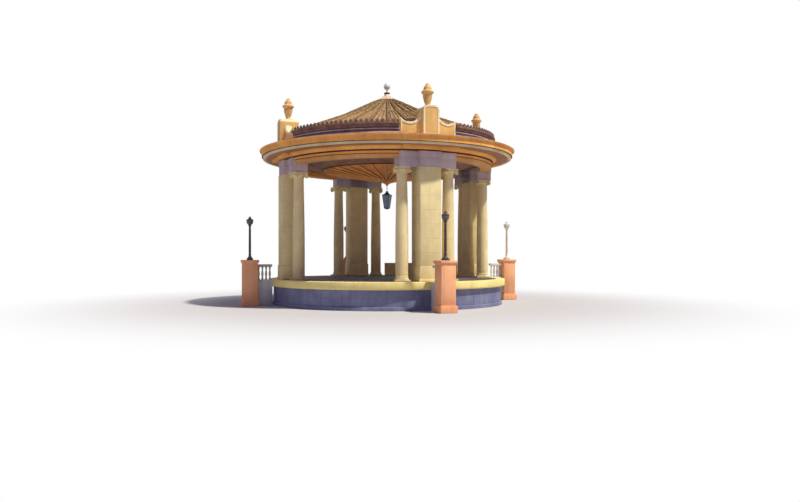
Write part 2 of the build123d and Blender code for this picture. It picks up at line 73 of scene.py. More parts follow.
class Around(Enum):
    """Places round the plan, each at its turn from +X in degrees."""

    @classmethod
    def turns(cls) -> list[float]:
        """Give the turns of all of them, lowest first."""
        return sorted(place.value for place in cls)

    @classmethod
    def nodes(cls, form: str) -> list[str]:
        """Give the names of the nodes that one form has at these places."""
        return [f"{form}_{place.name.lower()}" for place in cls]


class Corner(Around):
    """The four groups of columns on the diagonals."""

    FRONT_RIGHT = -45.0
    BACK_RIGHT = 45.0
    BACK_LEFT = 135.0
    FRONT_LEFT = 225.0


class Side(Around):
    """The four openings between the groups."""

    FRONT = 270.0
    RIGHT = 0.0
    BACK = 90.0
    LEFT = 180.0


class Socket(Enum):
    """The kinds of socket that a shared effect has."""

    VECTOR = "NodeSocketVector"
    COLOUR = "NodeSocketColor"
    VALUE = "NodeSocketFloat"


def ink(red: int, green: int, blue: int) -> Colour:
    """Turn a colour as seen on a screen into the linear values that shaders take.

    Args:
        red: Red, 0 to 255.
        green: Green, 0 to 255.
        blue: Blue, 0 to 255.

    Returns:
        The linear colour.
    """
    parts = [c / 255 for c in (red, green, blue)]
    return tuple(c / 12.92 if c <= 0.04045 else ((c + 0.055) / 1.055) ** 2.4 for c in parts)


def shade(colour: Colour, share: float = 1.0) -> tuple[float, float, float, float]:
    """Give a share of a colour, opaque, as a colour socket takes it."""
    return (*[part * share for part in colour], 1)


def reach(point: Vector) -> float:
    """Give a point's distance from the upright axis."""
    return math.hypot(point.x, point.y)


def wave(start: Point, end: Point, bulge: float, steps: int = 6) -> list[Point]:
    """Points along a moulding's curve between two points.

    Args:
        start: Where it starts.
        end: Where it ends.
        bulge: How far its middle stands off the straight line, to the left of the way along.
        steps: How many straight parts it has.

    Returns:
        The points after the start, up to and with the end.
    """
    across, up = end[0] - start[0], end[1] - start[1]
    length = math.hypot(across, up)
    off = (-up / length, across / length)
    made = []
    for index in range(1, steps + 1):
        share = index / steps
        lift = bulge * 4 * share * (1 - share)
        made.append((start[0] + across * share + off[0] * lift, start[1] + up * share + off[1] * lift))
    return made


def arc_through(start: Point, middle: Point, end: Point, steps: int = 14) -> list[Point]:
    """Points on the circle's arc through three points.

    Args:
        start: Where it starts.
        middle: A point on it.
        end: Where it ends.
        steps: How many straight parts it has.

    Returns:
        The points, with both ends.
    """
    (ax, ay), (bx, by), (cx, cy) = start, middle, end
    double = 2 * (ax * (by - cy) + bx * (cy - ay) + cx * (ay - by))
    a, b, c = ax**2 + ay**2, bx**2 + by**2, cx**2 + cy**2
    ox = (a * (by - cy) + b * (cy - ay) + c * (ay - by)) / double
    oy = (a * (cx - bx) + b * (ax - cx) + c * (bx - ax)) / double
    radius = math.hypot(ax - ox, ay - oy)
    first, mid, last = (math.atan2(y - oy, x - ox) for x, y in (start, middle, end))
    sweep = (last - first) % math.tau
    if (mid - first) % math.tau > sweep:
        sweep -= math.tau
    turns = [first + sweep * index / steps for index in range(steps + 1)]
    return [(ox + radius * math.cos(turn), oy + radius * math.sin(turn)) for turn in turns]


def beside(points: list[Point], off: float) -> list[Point]:
    """Points that run beside a line at an even distance.

    Args:
        points: The line.
        off: The distance, to its left; to its right where it is negative.

    Returns:
        As many points as the line has.
    """
    made = []
    for index, (x, z) in enumerate(points):
        before, after = points[max(index - 1, 0)], points[min(index + 1, len(points) - 1)]
        length = math.dist(before, after)
        made.append((x - (after[1] - before[1]) / length * off, z + (after[0] - before[0]) / length * off))
    return made


def half_round(x: float, low: float, high: float, out: float, steps: int = 8) -> list[Point]:
    """Points up a half-round moulding that stands out from an upright face.

    Args:
        x: The face's radius.
        low: The height at which the moulding starts.
        high: The height at which it ends.
        out: How far it stands out.
        steps: How many straight parts it has.

    Returns:
        Its points, from its start to its end.
    """
    middle, rise = (low + high) / 2, (high - low) / 2
    made = []
    for index in range(steps + 1):
        turn = -math.pi / 2 + math.pi * index / steps
        made.append((x + out * math.cos(turn), middle + rise * math.sin(turn)))
    return made


def mirrored(points: list[Point]) -> list[Point]:
    """Give points again on the other side of x = 0, in the opposite order."""
    return [(-x, z) for x, z in reversed(points)]


class Bench:
    """The mesh tools that every piece is made with."""

    merge = 1e-5
    joint = 0.05

    @staticmethod
    def clear() -> None:
        """Go to object mode with nothing selected."""
        if bpy.context.object and bpy.context.object.mode != "OBJECT":
            bpy.ops.object.mode_set(mode="OBJECT")
        bpy.ops.object.select_all(action="DESELECT")

    @staticmethod
    def pick(piece: Mesh) -> None:
        """Select one piece alone and make it active.

        Args:
            piece: The piece.
        """
        Bench.clear()
        piece.select_set(True)
        bpy.context.view_layer.objects.active = piece

    @staticmethod
    def choose(piece: Mesh, wanted: set[int]) -> None:
        """Go into edit mode with some vertices selected and nothing else.

        Args:
            piece: The piece.
            wanted: The vertices, by number.
        """
        Bench.pick(piece)
        bpy.ops.object.mode_set(mode="EDIT")
        bpy.ops.mesh.select_all(action="DESELECT")
        Bench.leave()
        for vertex in piece.data.vertices:
            vertex.select = vertex.index in wanted
        bpy.ops.object.mode_set(mode="EDIT")

    @staticmethod
    def enter() -> None:
        """Go into edit mode with everything selected."""
        bpy.ops.object.mode_set(mode="EDIT")
        bpy.ops.mesh.select_all(action="SELECT")

    @staticmethod
    def leave() -> None:
        """Go back to object mode."""
        bpy.ops.object.mode_set(mode="OBJECT")

    @staticmethod
    def close_edit() -> None:
        """Turn all of a closed mesh's faces outwards and go back to object mode."""
        bpy.ops.mesh.select_all(action="SELECT")
        bpy.ops.mesh.normals_make_consistent(inside=False)
        Bench.leave()

    @staticmethod
    def extrude(step: Place) -> None:
        """Extrude what is selected by a step."""
        bpy.ops.mesh.extrude_region_move(TRANSFORM_OT_translate={"value": step})

    @staticmethod
    def thicken(piece: Mesh, thickness: float, offset: float = -1.0) -> None:
        """Give a sheet a thickness, applied.

        Args:
            piece: The sheet.
            thickness: Its thickness.
            offset: -1 to grow inwards, 0 to both sides, 1 outwards.
        """
        Bench.pick(piece)
        step = piece.modifiers.new("thick", "SOLIDIFY")
        step.thickness = thickness
        step.offset = offset
        bpy.ops.object.modifier_apply(modifier=step.name)

    @staticmethod
    def profile(name: str, points: list[Point], closed: bool) -> Mesh:
        """Draw an outline in the XZ plane by extruding one vertex from point to point.

        Args:
            name: The piece's name.
            points: Its corners as (x, z).
            closed: Whether the last corner joins the first.

        Returns:
            The outline, in edit mode with everything selected.
        """
        Bench.clear()
        bpy.ops.mesh.primitive_plane_add(size=0.01, location=(0, 0, 0))
        piece = bpy.context.object
        piece.name = name
        Bench.enter()
        bpy.ops.mesh.merge(type="CENTER")
        bpy.ops.transform.translate(value=(points[0][0], 0, points[0][1]))
        corners = points[1:] + (points[:1] if closed else [])
        here = points[0]
        for there in corners:
            step = (there[0] - here[0], 0, there[1] - here[1])
            Bench.extrude(step)
            here = there
        bpy.ops.mesh.select_all(action="SELECT")
        bpy.ops.mesh.remove_doubles(threshold=Bench.merge)
        return piece

    @staticmethod
    def turned(name: str, points: list[Point], steps: int, closed: bool = False, arc: float = 360.0) -> Mesh:
        """Spin an outline round Z.

        Args:
            name: The piece's name.
            points: The outline as (radius, height).
            steps: How many flats the turn has.
            closed: Whether the outline is a loop, as on a ring.
            arc: Degrees turned from +X towards +Y; a loop turned by less than 360 has both ends closed.

        Returns:
            The turned piece.
        """
        piece = Bench.profile(name, points, closed)
        if closed and arc < 360:
            bpy.ops.mesh.edge_face_add()
        bpy.ops.mesh.spin(steps=steps, angle=-math.radians(arc), center=(0, 0, 0), axis=(0, 0, 1))
        bpy.ops.mesh.select_all(action="SELECT")
        bpy.ops.mesh.remove_doubles(threshold=Bench.merge)
        Bench.close_edit()
        return piece

    @staticmethod
    def plate(name: str, points: list[Point], depth: float) -> Mesh:
        """Fill an outline in the XZ plane and give it a depth along Y, half to each side.

        Args:
            name: The piece's name.
            points: The outline as (x, z).
            depth: Its whole depth.

        Returns:
            The plate.
        """
        piece = Bench.profile(name, points, True)
        bpy.ops.mesh.edge_face_add()
        bpy.ops.transform.translate(value=(0, -depth / 2, 0))
        Bench.extrude((0, depth, 0))
        Bench.close_edit()
        return piece

    @staticmethod
    def ribbon(
        name: str, points: list[Point], wide: float, thick: float, offset: float = -1.0, rise: float = 0.0
    ) -> Mesh:
        """Lay a strip along an open outline in the XZ plane, half its width to each side.

        Args:
            name: The piece's name.
            points: The outline as (x, z).
            wide: The strip's width along Y.
            thick: Its thickness.
            offset: Which side it grows to, as for thicken.
            rise: How much higher its far edge lies.

        Returns:
            The strip.
        """
        piece = Bench.profile(name, points, False)
        Bench.extrude((0, wide, rise))
        bpy.ops.mesh.select_all(action="SELECT")
        bpy.ops.transform.translate(value=(0, -wide / 2, 0))
        Bench.leave()
        Bench.thicken(piece, thick, offset)
        return piece

    @staticmethod
    def block(name: str, low: Place, high: Place, bevel: float, segments: int = 2) -> Mesh:
        """A dressed block between two corners, its arrises rounded.

        Args:
            name: The piece's name.
            low: Its low corner.
            high: Its high corner.
            bevel: How far its arrises are rounded.
            segments: Faces across each rounded arris.

        Returns:
            The block.
        """
        low, high = Vector(low), Vector(high)
        Bench.clear()
        bpy.ops.mesh.primitive_cube_add(size=1, location=(low + high) / 2, scale=high - low)
        piece = bpy.context.object
        piece.name = name
        Bench.settle(piece)
        Bench.bevel(piece, bevel, segments)
        return piece

    @staticmethod
    def tier(
        name: str, circle: float, half: float, low: float, high: float, bevel: float, segments: int = 2
    ) -> Mesh:
        """A square block about an upright axis on +X.

        Args:
            name: The piece's name.
            circle: The axis's distance from the middle of the plan.
            half: Half the block's width.
            low: Where it starts.
            high: Where it ends.
            bevel: How far its arrises are rounded.
            segments: Faces across each rounded arris.

        Returns:
            The block.
        """
        return Bench.block(name, (circle - half, -half, low), (circle + half, half, high), bevel, segments)

    @staticmethod
    def bevel(piece: Mesh, width: float, segments: int = 2, angle: float = 40.0) -> None:
        """Round a piece's sharp edges with a bevel, applied.

        Args:
            piece: The piece.
            width: The bevel's width.
            segments: Faces across it.
            angle: Edges sharper than this are rounded.
        """
        Bench.pick(piece)
        step = piece.modifiers.new("arris", "BEVEL")
        step.width = width
        step.segments = segments
        step.limit_method = "ANGLE"
        step.angle_limit = math.radians(angle)
        bpy.ops.object.modifier_apply(modifier=step.name)

    @staticmethod
    def settle(piece: Mesh) -> None:
        """Put a piece's place, turn and scale into its mesh."""
        Bench.pick(piece)
        bpy.ops.object.transform_apply(location=True, rotation=True, scale=True)

    @staticmethod
    def place(piece: Mesh, move: tuple = (0, 0, 0), turn: float = 0.0, tilt: tuple | None = None) -> Mesh:
        """Move and turn a piece, and put that in its mesh.

        Args:
            piece: The piece.
            move: Where its origin goes.
            turn: Degrees about Z.
            tilt: Degrees about X, Y and Z instead of turn.

        Returns:
            The same piece.
        """
        piece.rotation_mode = "XYZ"
        piece.rotation_euler = [math.radians(angle) for angle in (tilt or (0, 0, turn))]
        piece.location = move
        Bench.settle(piece)
        return piece

    @staticmethod
    def copy(piece: Mesh) -> Mesh:
        """Copy a piece with its own mesh.

        Args:
            piece: The piece.

        Returns:
            The copy.
        """
        Bench.pick(piece)
        bpy.ops.object.duplicate(linked=False)
        return bpy.context.object

    @staticmethod
    def join(name: str, parts: list[Mesh]) -> Mesh:
        """Join several pieces into one mesh.

        Args:
            name: The joined piece's name.
            parts: The pieces.

        Returns:
            The joined piece.
        """
        Bench.clear()
        for part in parts:
            part.select_set(True)
        bpy.context.view_layer.objects.active = parts[0]
        if len(parts) > 1:
            bpy.ops.object.join()
        whole = bpy.context.view_layer.objects.active
        whole.name = name
        whole.data.name = name
        return whole

    @staticmethod
    def round_copies(name: str, piece: Mesh, turns: list[float]) -> Mesh:
        """Copy a piece round Z and join the copies, the piece itself being the last of them.

        Args:
            name: The joined piece's name.
            piece: The piece at its place for a turn of 0.
            turns: Degrees, one for each copy.

        Returns:
            The joined piece.
        """
        made = [Bench.copy(piece) for _ in turns[1:]] + [piece]
        for one, turn in zip(made, turns):
            Bench.place(one, turn=turn)
        return Bench.join(name, made)

    @staticmethod
    def array_round(piece: Mesh, count: int, sweep: float = 360.0) -> None:
        """Repeat a piece evenly round Z with an array turned by an empty, applied.

        Args:
            piece: The piece at its first place.
            count: How many there are.
            sweep: The degrees that they share.
        """
        Bench.clear()
        bpy.ops.object.empty_add(location=(0, 0, 0))
        hub = bpy.context.object
        hub.rotation_euler = (0, 0, math.radians(sweep) / count)
        bpy.context.view_layer.update()
        Bench.pick(piece)
        step = piece.modifiers.new("round", "ARRAY")
        step.count = count
        step.use_relative_offset = False
        step.use_object_offset = True
        step.offset_object = hub
        bpy.ops.object.modifier_apply(modifier=step.name)
        bpy.data.objects.remove(hub)

    @staticmethod
    def stones(
        name: str, points: list[Point], count: int, first: float = 0.0, sweep: float = 360.0, steps: int = 4
    ) -> Mesh:
        """A curved course of equal stones with a hairline joint between one and the next.

        Args:
            name: The piece's name.
            points: The stones' outline as (radius, height), a loop.
            count: How many stones there are.
            first: Degrees at which the first one starts.
            sweep: The degrees that they share.
            steps: How many flats one stone's curve has.

        Returns:
            The course.
        """
        stone = Bench.turned(name, points, steps, closed=True, arc=sweep / count - Bench.joint)
        Bench.place(stone, turn=first + Bench.joint / 2)
        Bench.array_round(stone, count, sweep)
        return stone

    @staticmethod
    def lengths(name: str, points: list[Point], count: int, steps: int = 4) -> list[Mesh]:
        """Four lengths of a course, one over each opening.

        Args:
            name: The lengths' name.
            points: The stones' outline as (radius, height), a loop.
            count: How many stones one length has.
            steps: How many flats one stone's curve has.

        Returns:
            The lengths.
        """
        starts = [turn - OPENING for turn in Side.turns()]
        return [Bench.stones(name, points, count, start, 2 * OPENING, steps) for start in starts]

    @staticmethod
    def smooth(piece: Mesh, angle: float = 32.0) -> None:
        """Shade a piece smooth, with edges sharper than an angle left crisp."""
        Bench.pick(piece)
        bpy.ops.object.shade_smooth_by_angle(angle=math.radians(angle))

    @staticmethod
    def bend_round(piece: Mesh, radius: float, cuts: int) -> None:
        """Curve a flat piece that lies across X about an upright axis, as a wall on a circle.

        Args:
            piece: The piece, its outer side towards +Y.
            radius: The circle's radius at y = 0.
            cuts: How many parts it is cut into first.
        """
        across = [vertex.co.x for vertex in piece.data.vertices]
        low, width = min(across), max(across) - min(across)
        Bench.pick(piece)
        bpy.ops.object.mode_set(mode="EDIT")
        for index in range(1, cuts):
            bpy.ops.mesh.select_all(action="SELECT")
            bpy.ops.mesh.bisect(plane_co=(low + width * index / cuts, 0, 0), plane_no=(1, 0, 0))
        Bench.leave()
        step = piece.modifiers.new("curve", "SIMPLE_DEFORM")
        step.deform_method = "BEND"
        step.deform_axis = "Z"
        step.angle = -width / radius
        bpy.ops.object.modifier_apply(modifier=step.name)


class Graph:
    """A shader node tree while it is being built."""

    def __init__(self, tree: bpy.types.NodeTree) -> None:
        """Take the tree."""
        self.tree, self.nodes = tree, tree.nodes

    def add(self, kind: str, values: dict | None = None, **settings: object) -> bpy.types.Node:
        """Add a node.

        Args:
            kind: Its type, without the word ShaderNode.
            values: What its inputs hold, by name or number.
            settings: What its own settings are.

        Returns:
            The node.
        """
        node = self.nodes.new(f"ShaderNode{kind}")
        for setting, choice in settings.items():
            setattr(node, setting, choice)
        for socket, value in (values or {}).items():
            node.inputs[socket].default_value = value
        return node

    def link(self, source: Plug, *targets: Plug) -> None:
        """Link one output to one or more inputs, each named as its node and its label or number."""
        for node, label in targets:
            self.tree.links.new(source[0].outputs[source[1]], node.inputs[label])

    def bump(self, height: Plug, shader: bpy.types.Node, strength: float, distance: float) -> None:
        """Let a height tilt a shader's normal.

        Args:
            height: The output that gives the height.
            shader: The shader.
            strength: How strong the tilt is, 0 to 1.
            distance: How deep a height of 1 is.
        """
        bump = self.add("Bump", {"Strength": strength, "Distance": distance})
        self.link(height, (bump, "Height"))
        self.link((bump, "Normal"), (shader, "Normal"))


class Effects:
    """Shader node groups that several finishes share, built once."""

    def __init__(self) -> None:
        """Build the groups."""
        self.mottle = self._mottle()
        self.relief = self._relief()
        self.stain = self._stain()

    @staticmethod
    def _group(name: str, inputs: dict[str, tuple[Socket, object]], outputs: dict[str, Socket]) -> tuple:
        """Make an empty group with its sockets.

        Args:
            name: The group's name.
            inputs: Each input's kind and what it holds, by name.
            outputs: Each output's kind, by name.

        Returns:
            The group's graph, its input node and its output node.
        """
        group = bpy.data.node_groups.new(name, "ShaderNodeTree")
        for label, (kind, value) in inputs.items():
            socket = group.interface.new_socket(label, in_out="INPUT", socket_type=kind.value)
            if value is not None:
                socket.default_value = value
        for label, kind in outputs.items():
            group.interface.new_socket(label, in_out="OUTPUT", socket_type=kind.value)
        return Graph(group), group.nodes.new("NodeGroupInput"), group.nodes.new("NodeGroupOutput")

    def _mottle(self) -> bpy.types.NodeTree:
        """Two colours mixed by broad clouds and fine specks.

        Returns:
            The group.
        """
        inputs = {
            "Vector": (Socket.VECTOR, None),
            "Light": (Socket.COLOUR, (1, 1, 1, 1)),
            "Dark": (Socket.COLOUR, (0, 0, 0, 1)),
            "Scale": (Socket.VALUE, 1.0),
            "Speck": (Socket.VALUE, 0.2),
        }
        outputs = {"Colour": Socket.COLOUR, "Cloud": Socket.VALUE}
        graph, start, end = self._group("stone_mottle", inputs, outputs)
        cloud = graph.add("TexNoise", {"Detail": 6, "Roughness": 0.62})
        finer = graph.add("Math", {1: 22.0}, operation="MULTIPLY")
        speck = graph.add("TexNoise", {"Detail": 3})
        ramp = graph.add("ValToRGB")
        ramp.color_ramp.elements[0].position = 0.36
        ramp.color_ramp.elements[1].position = 0.66
        mix = graph.add("Mix", data_type="RGBA")
        dust = graph.add("Mix", data_type="RGBA", blend_type="OVERLAY")
        graph.link((start, "Vector"), (cloud, "Vector"), (speck, "Vector"))
        graph.link((start, "Scale"), (cloud, "Scale"), (finer, 0))
        graph.link((finer, 0), (speck, "Scale"))
        graph.link((cloud, "Fac"), (ramp, "Fac"), (end, "Cloud"))
        graph.link((ramp, "Color"), (mix, "Factor"))
        graph.link((start, "Dark"), (mix, "A"))
        graph.link((start, "Light"), (mix, "B"))
        graph.link((start, "Speck"), (dust, "Factor"))
        graph.link((mix, "Result"), (dust, "A"))
        graph.link((speck, "Color"), (dust, "B"))
        graph.link((dust, "Result"), (end, "Colour"))
        return graph.tree

    def _relief(self) -> bpy.types.NodeTree:
        """A dressed face's height: fine tooling, and a groove at each level bed joint.

        Returns:
            The group.
        """
        inputs = {
            "Vector": (Socket.VECTOR, None),
            "Tooling": (Socket.VALUE, 60.0),
            "Course": (Socket.VALUE, 0.6),
            "Joint": (Socket.VALUE, 0.012),
        }
        outputs = {"Height": Socket.VALUE, "Joint Mask": Socket.VALUE}
        graph, start, end = self._group("stone_relief", inputs, outputs)
        tooling = graph.add("TexNoise", {"Detail": 4})
        split = graph.add("SeparateXYZ")
        half = graph.add("Math", {1: 0.5}, operation="MULTIPLY")
        course = graph.add("Math", operation="PINGPONG")
        groove = graph.add("MapRange", interpolation_type="SMOOTHSTEP")
        lift = graph.add("Math", {1: 0.25}, operation="MULTIPLY_ADD")
        graph.link((start, "Vector"), (tooling, "Vector"), (split, 0))
        graph.link((start, "Tooling"), (tooling, "Scale"))
        graph.link((start, "Course"), (half, 0))
        graph.link((split, "Z"), (course, 0))
        graph.link((half, 0), (course, 1))
        graph.link((course, 0), (groove, "Value"))
        graph.link((start, "Joint"), (groove, "From Max"))
        graph.link((tooling, "Fac"), (lift, 0))
        graph.link((groove, "Result"), (lift, 2), (end, "Joint Mask"))
        graph.link((lift, 0), (end, "Height"))
        return graph.tree

    def _stain(self) -> bpy.types.NodeTree:
        """Streaks that rain leaves down a face.

        Returns:
            The group.
        """
        inputs = {
            "Vector": (Socket.VECTOR, None),
            "Colour": (Socket.COLOUR, (1, 1, 1, 1)),
            "Stain": (Socket.COLOUR, (0.2, 0.2, 0.2, 1)),
            "Amount": (Socket.VALUE, 0.3),
        }
        graph, start, end = self._group("rain_stain", inputs, {"Colour": Socket.COLOUR})
        stretch = graph.add("VectorMath", {1: (7.0, 7.0, 0.6)}, operation="MULTIPLY")
        streak = graph.add("TexNoise", {"Scale": 1.0, "Detail": 5})
        ramp = graph.add("MapRange", {"From Min": 0.48, "From Max": 0.78})
        scale = graph.add("Math", operation="MULTIPLY")
        mix = graph.add("Mix", data_type="RGBA", blend_type="MULTIPLY")
        graph.link((start, "Vector"), (stretch, 0))
        graph.link((stretch, 0), (streak, "Vector"))
        graph.link((streak, "Fac"), (ramp, "Value"))
        graph.link((ramp, "Result"), (scale, 0))
        graph.link((start, "Amount"), (scale, 1))
        graph.link((scale, 0), (mix, "Factor"))
        graph.link((start, "Colour"), (mix, "A"))
        graph.link((start, "Stain"), (mix, "B"))
        graph.link((mix, "Result"), (end, "Colour"))
        return graph.tree


class Clouded:
    """A new material whose colour is clouded, for a finish to complete."""

    def __init__(
        self, name: str, effects: Effects, light: Colour, dark: Colour, scale: float, speck: float
    ) -> None:
        """Make the material with its colour.

        Args:
            name: Its name.
            effects: The shared node groups.
            light: The lighter colour.
            dark: The darker colour.
            scale: How fine the clouds are.
            speck: How strong the specks are.
        """
        self.material = bpy.data.materials.new(name)
        self.material.use_nodes = True
        self.graph = Graph(self.material.node_tree)
        self.shader = self.graph.nodes["Principled BSDF"]
        self.place = (self.graph.add("TexCoord"), "Object")
        values = {"Light": shade(light), "Dark": shade(dark), "Scale": scale, "Speck": speck}
        mottle = self.graph.add("Group", values, node_tree=effects.mottle)
        self.colour, self.cloud = (mottle, "Colour"), (mottle, "Cloud")
        self.graph.link(self.place, (mottle, "Vector"))

    def set(self, **values: float) -> None:
        """Set the shader's own inputs, with an underline for each space in their names."""
        for label, value in values.items():
            self.shader.inputs[label.replace("_", " ")].default_value = value


@dataclass(frozen=True)
class StoneFinish:
    """Dressed stone, plaster, wood or tile: clouded colour, tooling, bed joints and rain streaks."""

    name: str
    light: Colour
    dark: Colour
    scale: float = 0.9
    speck: float = 0.18
    course: float = 50.0
    stain: float = 0.35
    joint: float = 0.35
    roughness: float = 0.78
    relief: float = 0.25

    def make(self, effects: Effects) -> bpy.types.Material:
        """Build the material.

        Args:
            effects: The shared node groups.

        Returns:
            The material.
        """
        base = Clouded(self.name, effects, self.light, self.dark, self.scale, self.speck)
        base.set(Roughness=self.roughness, Specular_IOR_Level=0.3)
        graph, dirt, gap = base.graph, shade(self.dark, 0.45), shade(self.dark, 0.4)
        relief = graph.add("Group", {"Course": self.course}, node_tree=effects.relief)
        stain = graph.add("Group", {"Stain": dirt, "Amount": self.stain}, node_tree=effects.stain)
        faint = graph.add("MapRange", {"To Min": 1 - self.joint})
        joint = graph.add("Mix", {"A": gap}, data_type="RGBA")
        graph.link(base.place, (relief, "Vector"), (stain, "Vector"))
        graph.link(base.colour, (stain, "Colour"))
        graph.link((relief, "Joint Mask"), (faint, "Value"))
        graph.link((faint, "Result"), (joint, "Factor"))
        graph.link((stain, "Colour"), (joint, "B"))
        graph.link((joint, "Result"), (base.shader, "Base Color"))
        graph.bump((relief, "Height"), base.shader, self.relief, 0.01)
        return base.material


@dataclass(frozen=True)
class PaintFinish:
    """Painted or bare metal, with worn patches and a slight unevenness."""

    name: str
    light: Colour
    dark: Colour
    metallic: float = 0.0
    roughness: float = 0.42
    scale: float = 6.0

    def make(self, effects: Effects) -> bpy.types.Material:
        """Build the material.

        Args:
            effects: The shared node groups.

        Returns:
            The material.
        """
        base = Clouded(self.name, effects, self.light, self.dark, self.scale, 0.12)
        base.set(Metallic=self.metallic)
        values = {"To Min": self.roughness - 0.12, "To Max": self.roughness + 0.18}
        rough = base.graph.add("MapRange", values)
        base.graph.link(base.colour, (base.shader, "Base Color"))
        base.graph.link(base.cloud, (rough, "Value"))
        base.graph.link((rough, "Result"), (base.shader, "Roughness"))
        base.graph.bump(base.cloud, base.shader, 0.12, 0.004)
        return base.material


@dataclass(frozen=True)
class GlassFinish:
    """Milky or smoked lamp glass with faint waves."""

    name: str
    tint: Colour
    transmission: float = 0.55
    roughness: float = 0.25

    def make(self, effects: Effects) -> bpy.types.Material:
        """Build the material.

        Args:
            effects: The shared node groups.

        Returns:
            The material.
        """
        darker = tuple(part * 0.82 for part in self.tint)
        base = Clouded(self.name, effects, self.tint, darker, 9.0, 0.05)
        base.set(Transmission_Weight=self.transmission, Roughness=self.roughness)
        base.graph.link(base.colour, (base.shader, "Base Color"))
        base.graph.bump(base.cloud, base.shader, 0.08, 0.003)
        return base.material


FINISHES: tuple[StoneFinish | PaintFinish | GlassFinish, ...] = (
    StoneFinish("column_stone", ink(240, 224, 172), ink(222, 202, 160), course=1.5, stain=0.1),
    StoneFinish("pier_stone", ink(240, 224, 170), ink(222, 202, 158), course=0.605, stain=0.1),
    # Painted shade: the imposts are the piers' stone in the cornice's shadow, coloured lilac
    StoneFinish("impost_stone", ink(204, 188, 190), ink(178, 162, 176), stain=0.2),
    StoneFinish("parapet_stone", ink(236, 194, 126), ink(220, 174, 110), stain=0.2),
    StoneFinish("coping_stone", ink(246, 236, 204), ink(230, 216, 182), stain=0.15),
    StoneFinish("urn_stone", ink(238, 200, 140), ink(212, 168, 112), scale=3.0, stain=0.2),
    StoneFinish("pedestal_stone", ink(248, 186, 142), ink(230, 164, 124), stain=0.25),
    StoneFinish("wing_stone", ink(214, 214, 216), ink(188, 188, 196), stain=0.3),
    StoneFinish("ochre_stone", ink(246, 184, 100), ink(228, 160, 86), stain=0.25),
    # Painted shade: the darker brown of the cornice's downward faces
    StoneFinish("soffit_painted_shade", ink(180, 130, 98), ink(158, 110, 82), stain=0.15, relief=0.15),
    StoneFinish("pale_band_stone", ink(240, 228, 192), ink(220, 204, 168), stain=0.2),
    StoneFinish("beam_stone", ink(226, 174, 112), ink(206, 150, 96), stain=0.2),
    # Painted shadow: dark lines under the fascia, at the bed mould's foot and along the beams' roll
    StoneFinish("painted_shadow_line", ink(92, 66, 60), ink(70, 50, 50), stain=0.2),
    StoneFinish("crown_stone", ink(222, 198, 182), ink(204, 178, 164), stain=0.2),
    StoneFinish("platform_stone", ink(250, 234, 158), ink(234, 214, 142), stain=0.12),
    # Painted shade: the floor's dark colour stands for the shadow inside the bandstand
    StoneFinish("painted_shade_floor", ink(92, 88, 92), ink(66, 64, 72), scale=1.6, stain=0.0, speck=0.3),
    # Painted shade: the base wall's blue-purple stands for the shadow under the slab
    StoneFinish("base_stone", ink(138, 142, 176), ink(112, 114, 150), stain=0.3),
    StoneFinish("attic_stone", ink(96, 92, 118), ink(74, 70, 96), stain=0.3),
    StoneFinish("attic_fillet_stone", ink(220, 178, 162), ink(192, 150, 138), stain=0.3),
    StoneFinish("eaves_tile", ink(142, 112, 100), ink(108, 82, 78), scale=3.0, speck=0.3, relief=0.4),
    StoneFinish("roof_tile", ink(184, 149, 107), ink(160, 127, 90), scale=2.2, speck=0.3, relief=0.5),
    StoneFinish("roof_bed_tile", ink(165, 132, 96), ink(138, 108, 78), scale=2.2, speck=0.3, relief=0.5),
    StoneFinish("roof_roll_tile", ink(142, 114, 76), ink(114, 92, 64), scale=3.0, speck=0.3, relief=0.4),
    StoneFinish("ceiling_margin", ink(170, 128, 106), ink(132, 96, 84), scale=3.0, speck=0.5, stain=0.0),
    StoneFinish("ceiling_board", ink(244, 166, 94), ink(222, 142, 80), scale=2.0, stain=0.0, roughness=0.6),
    StoneFinish("ceiling_rib", ink(250, 186, 112), ink(226, 158, 92), scale=3.0, stain=0.0, roughness=0.55),
    # Painted shade: dark lines beside the ceiling's ribs, on the rim and under the boss's roll
    StoneFinish("painted_rib_shade", ink(84, 50, 36), ink(62, 38, 30), scale=3.0, stain=0.0, roughness=0.6),
    PaintFinish("cap_metal", ink(236, 216, 196), ink(216, 186, 166), scale=2.0),
    PaintFinish("finial_metal", ink(228, 228, 226), ink(190, 190, 196), 0.35, roughness=0.4, scale=2.0),
    PaintFinish("lantern_metal", ink(46, 52, 76), ink(24, 28, 44), roughness=0.4),
    PaintFinish("lamp_metal", ink(232, 226, 218), ink(206, 198, 192), roughness=0.45),
    # Dark iron for the finial's ring, and painted shade on three of the four lamps
    PaintFinish("dark_iron_and_painted_shade", ink(70, 62, 70), ink(44, 40, 50), roughness=0.45),
    GlassFinish("lantern_glass", ink(168, 200, 232)),
    GlassFinish("lamp_glass", ink(246, 244, 236), transmission=0.3, roughness=0.35),
    # Painted shade: the dark glass of the three shaded lamps
    GlassFinish("shaded_lamp_glass", ink(112, 96, 108), transmission=0.3, roughness=0.35),
)


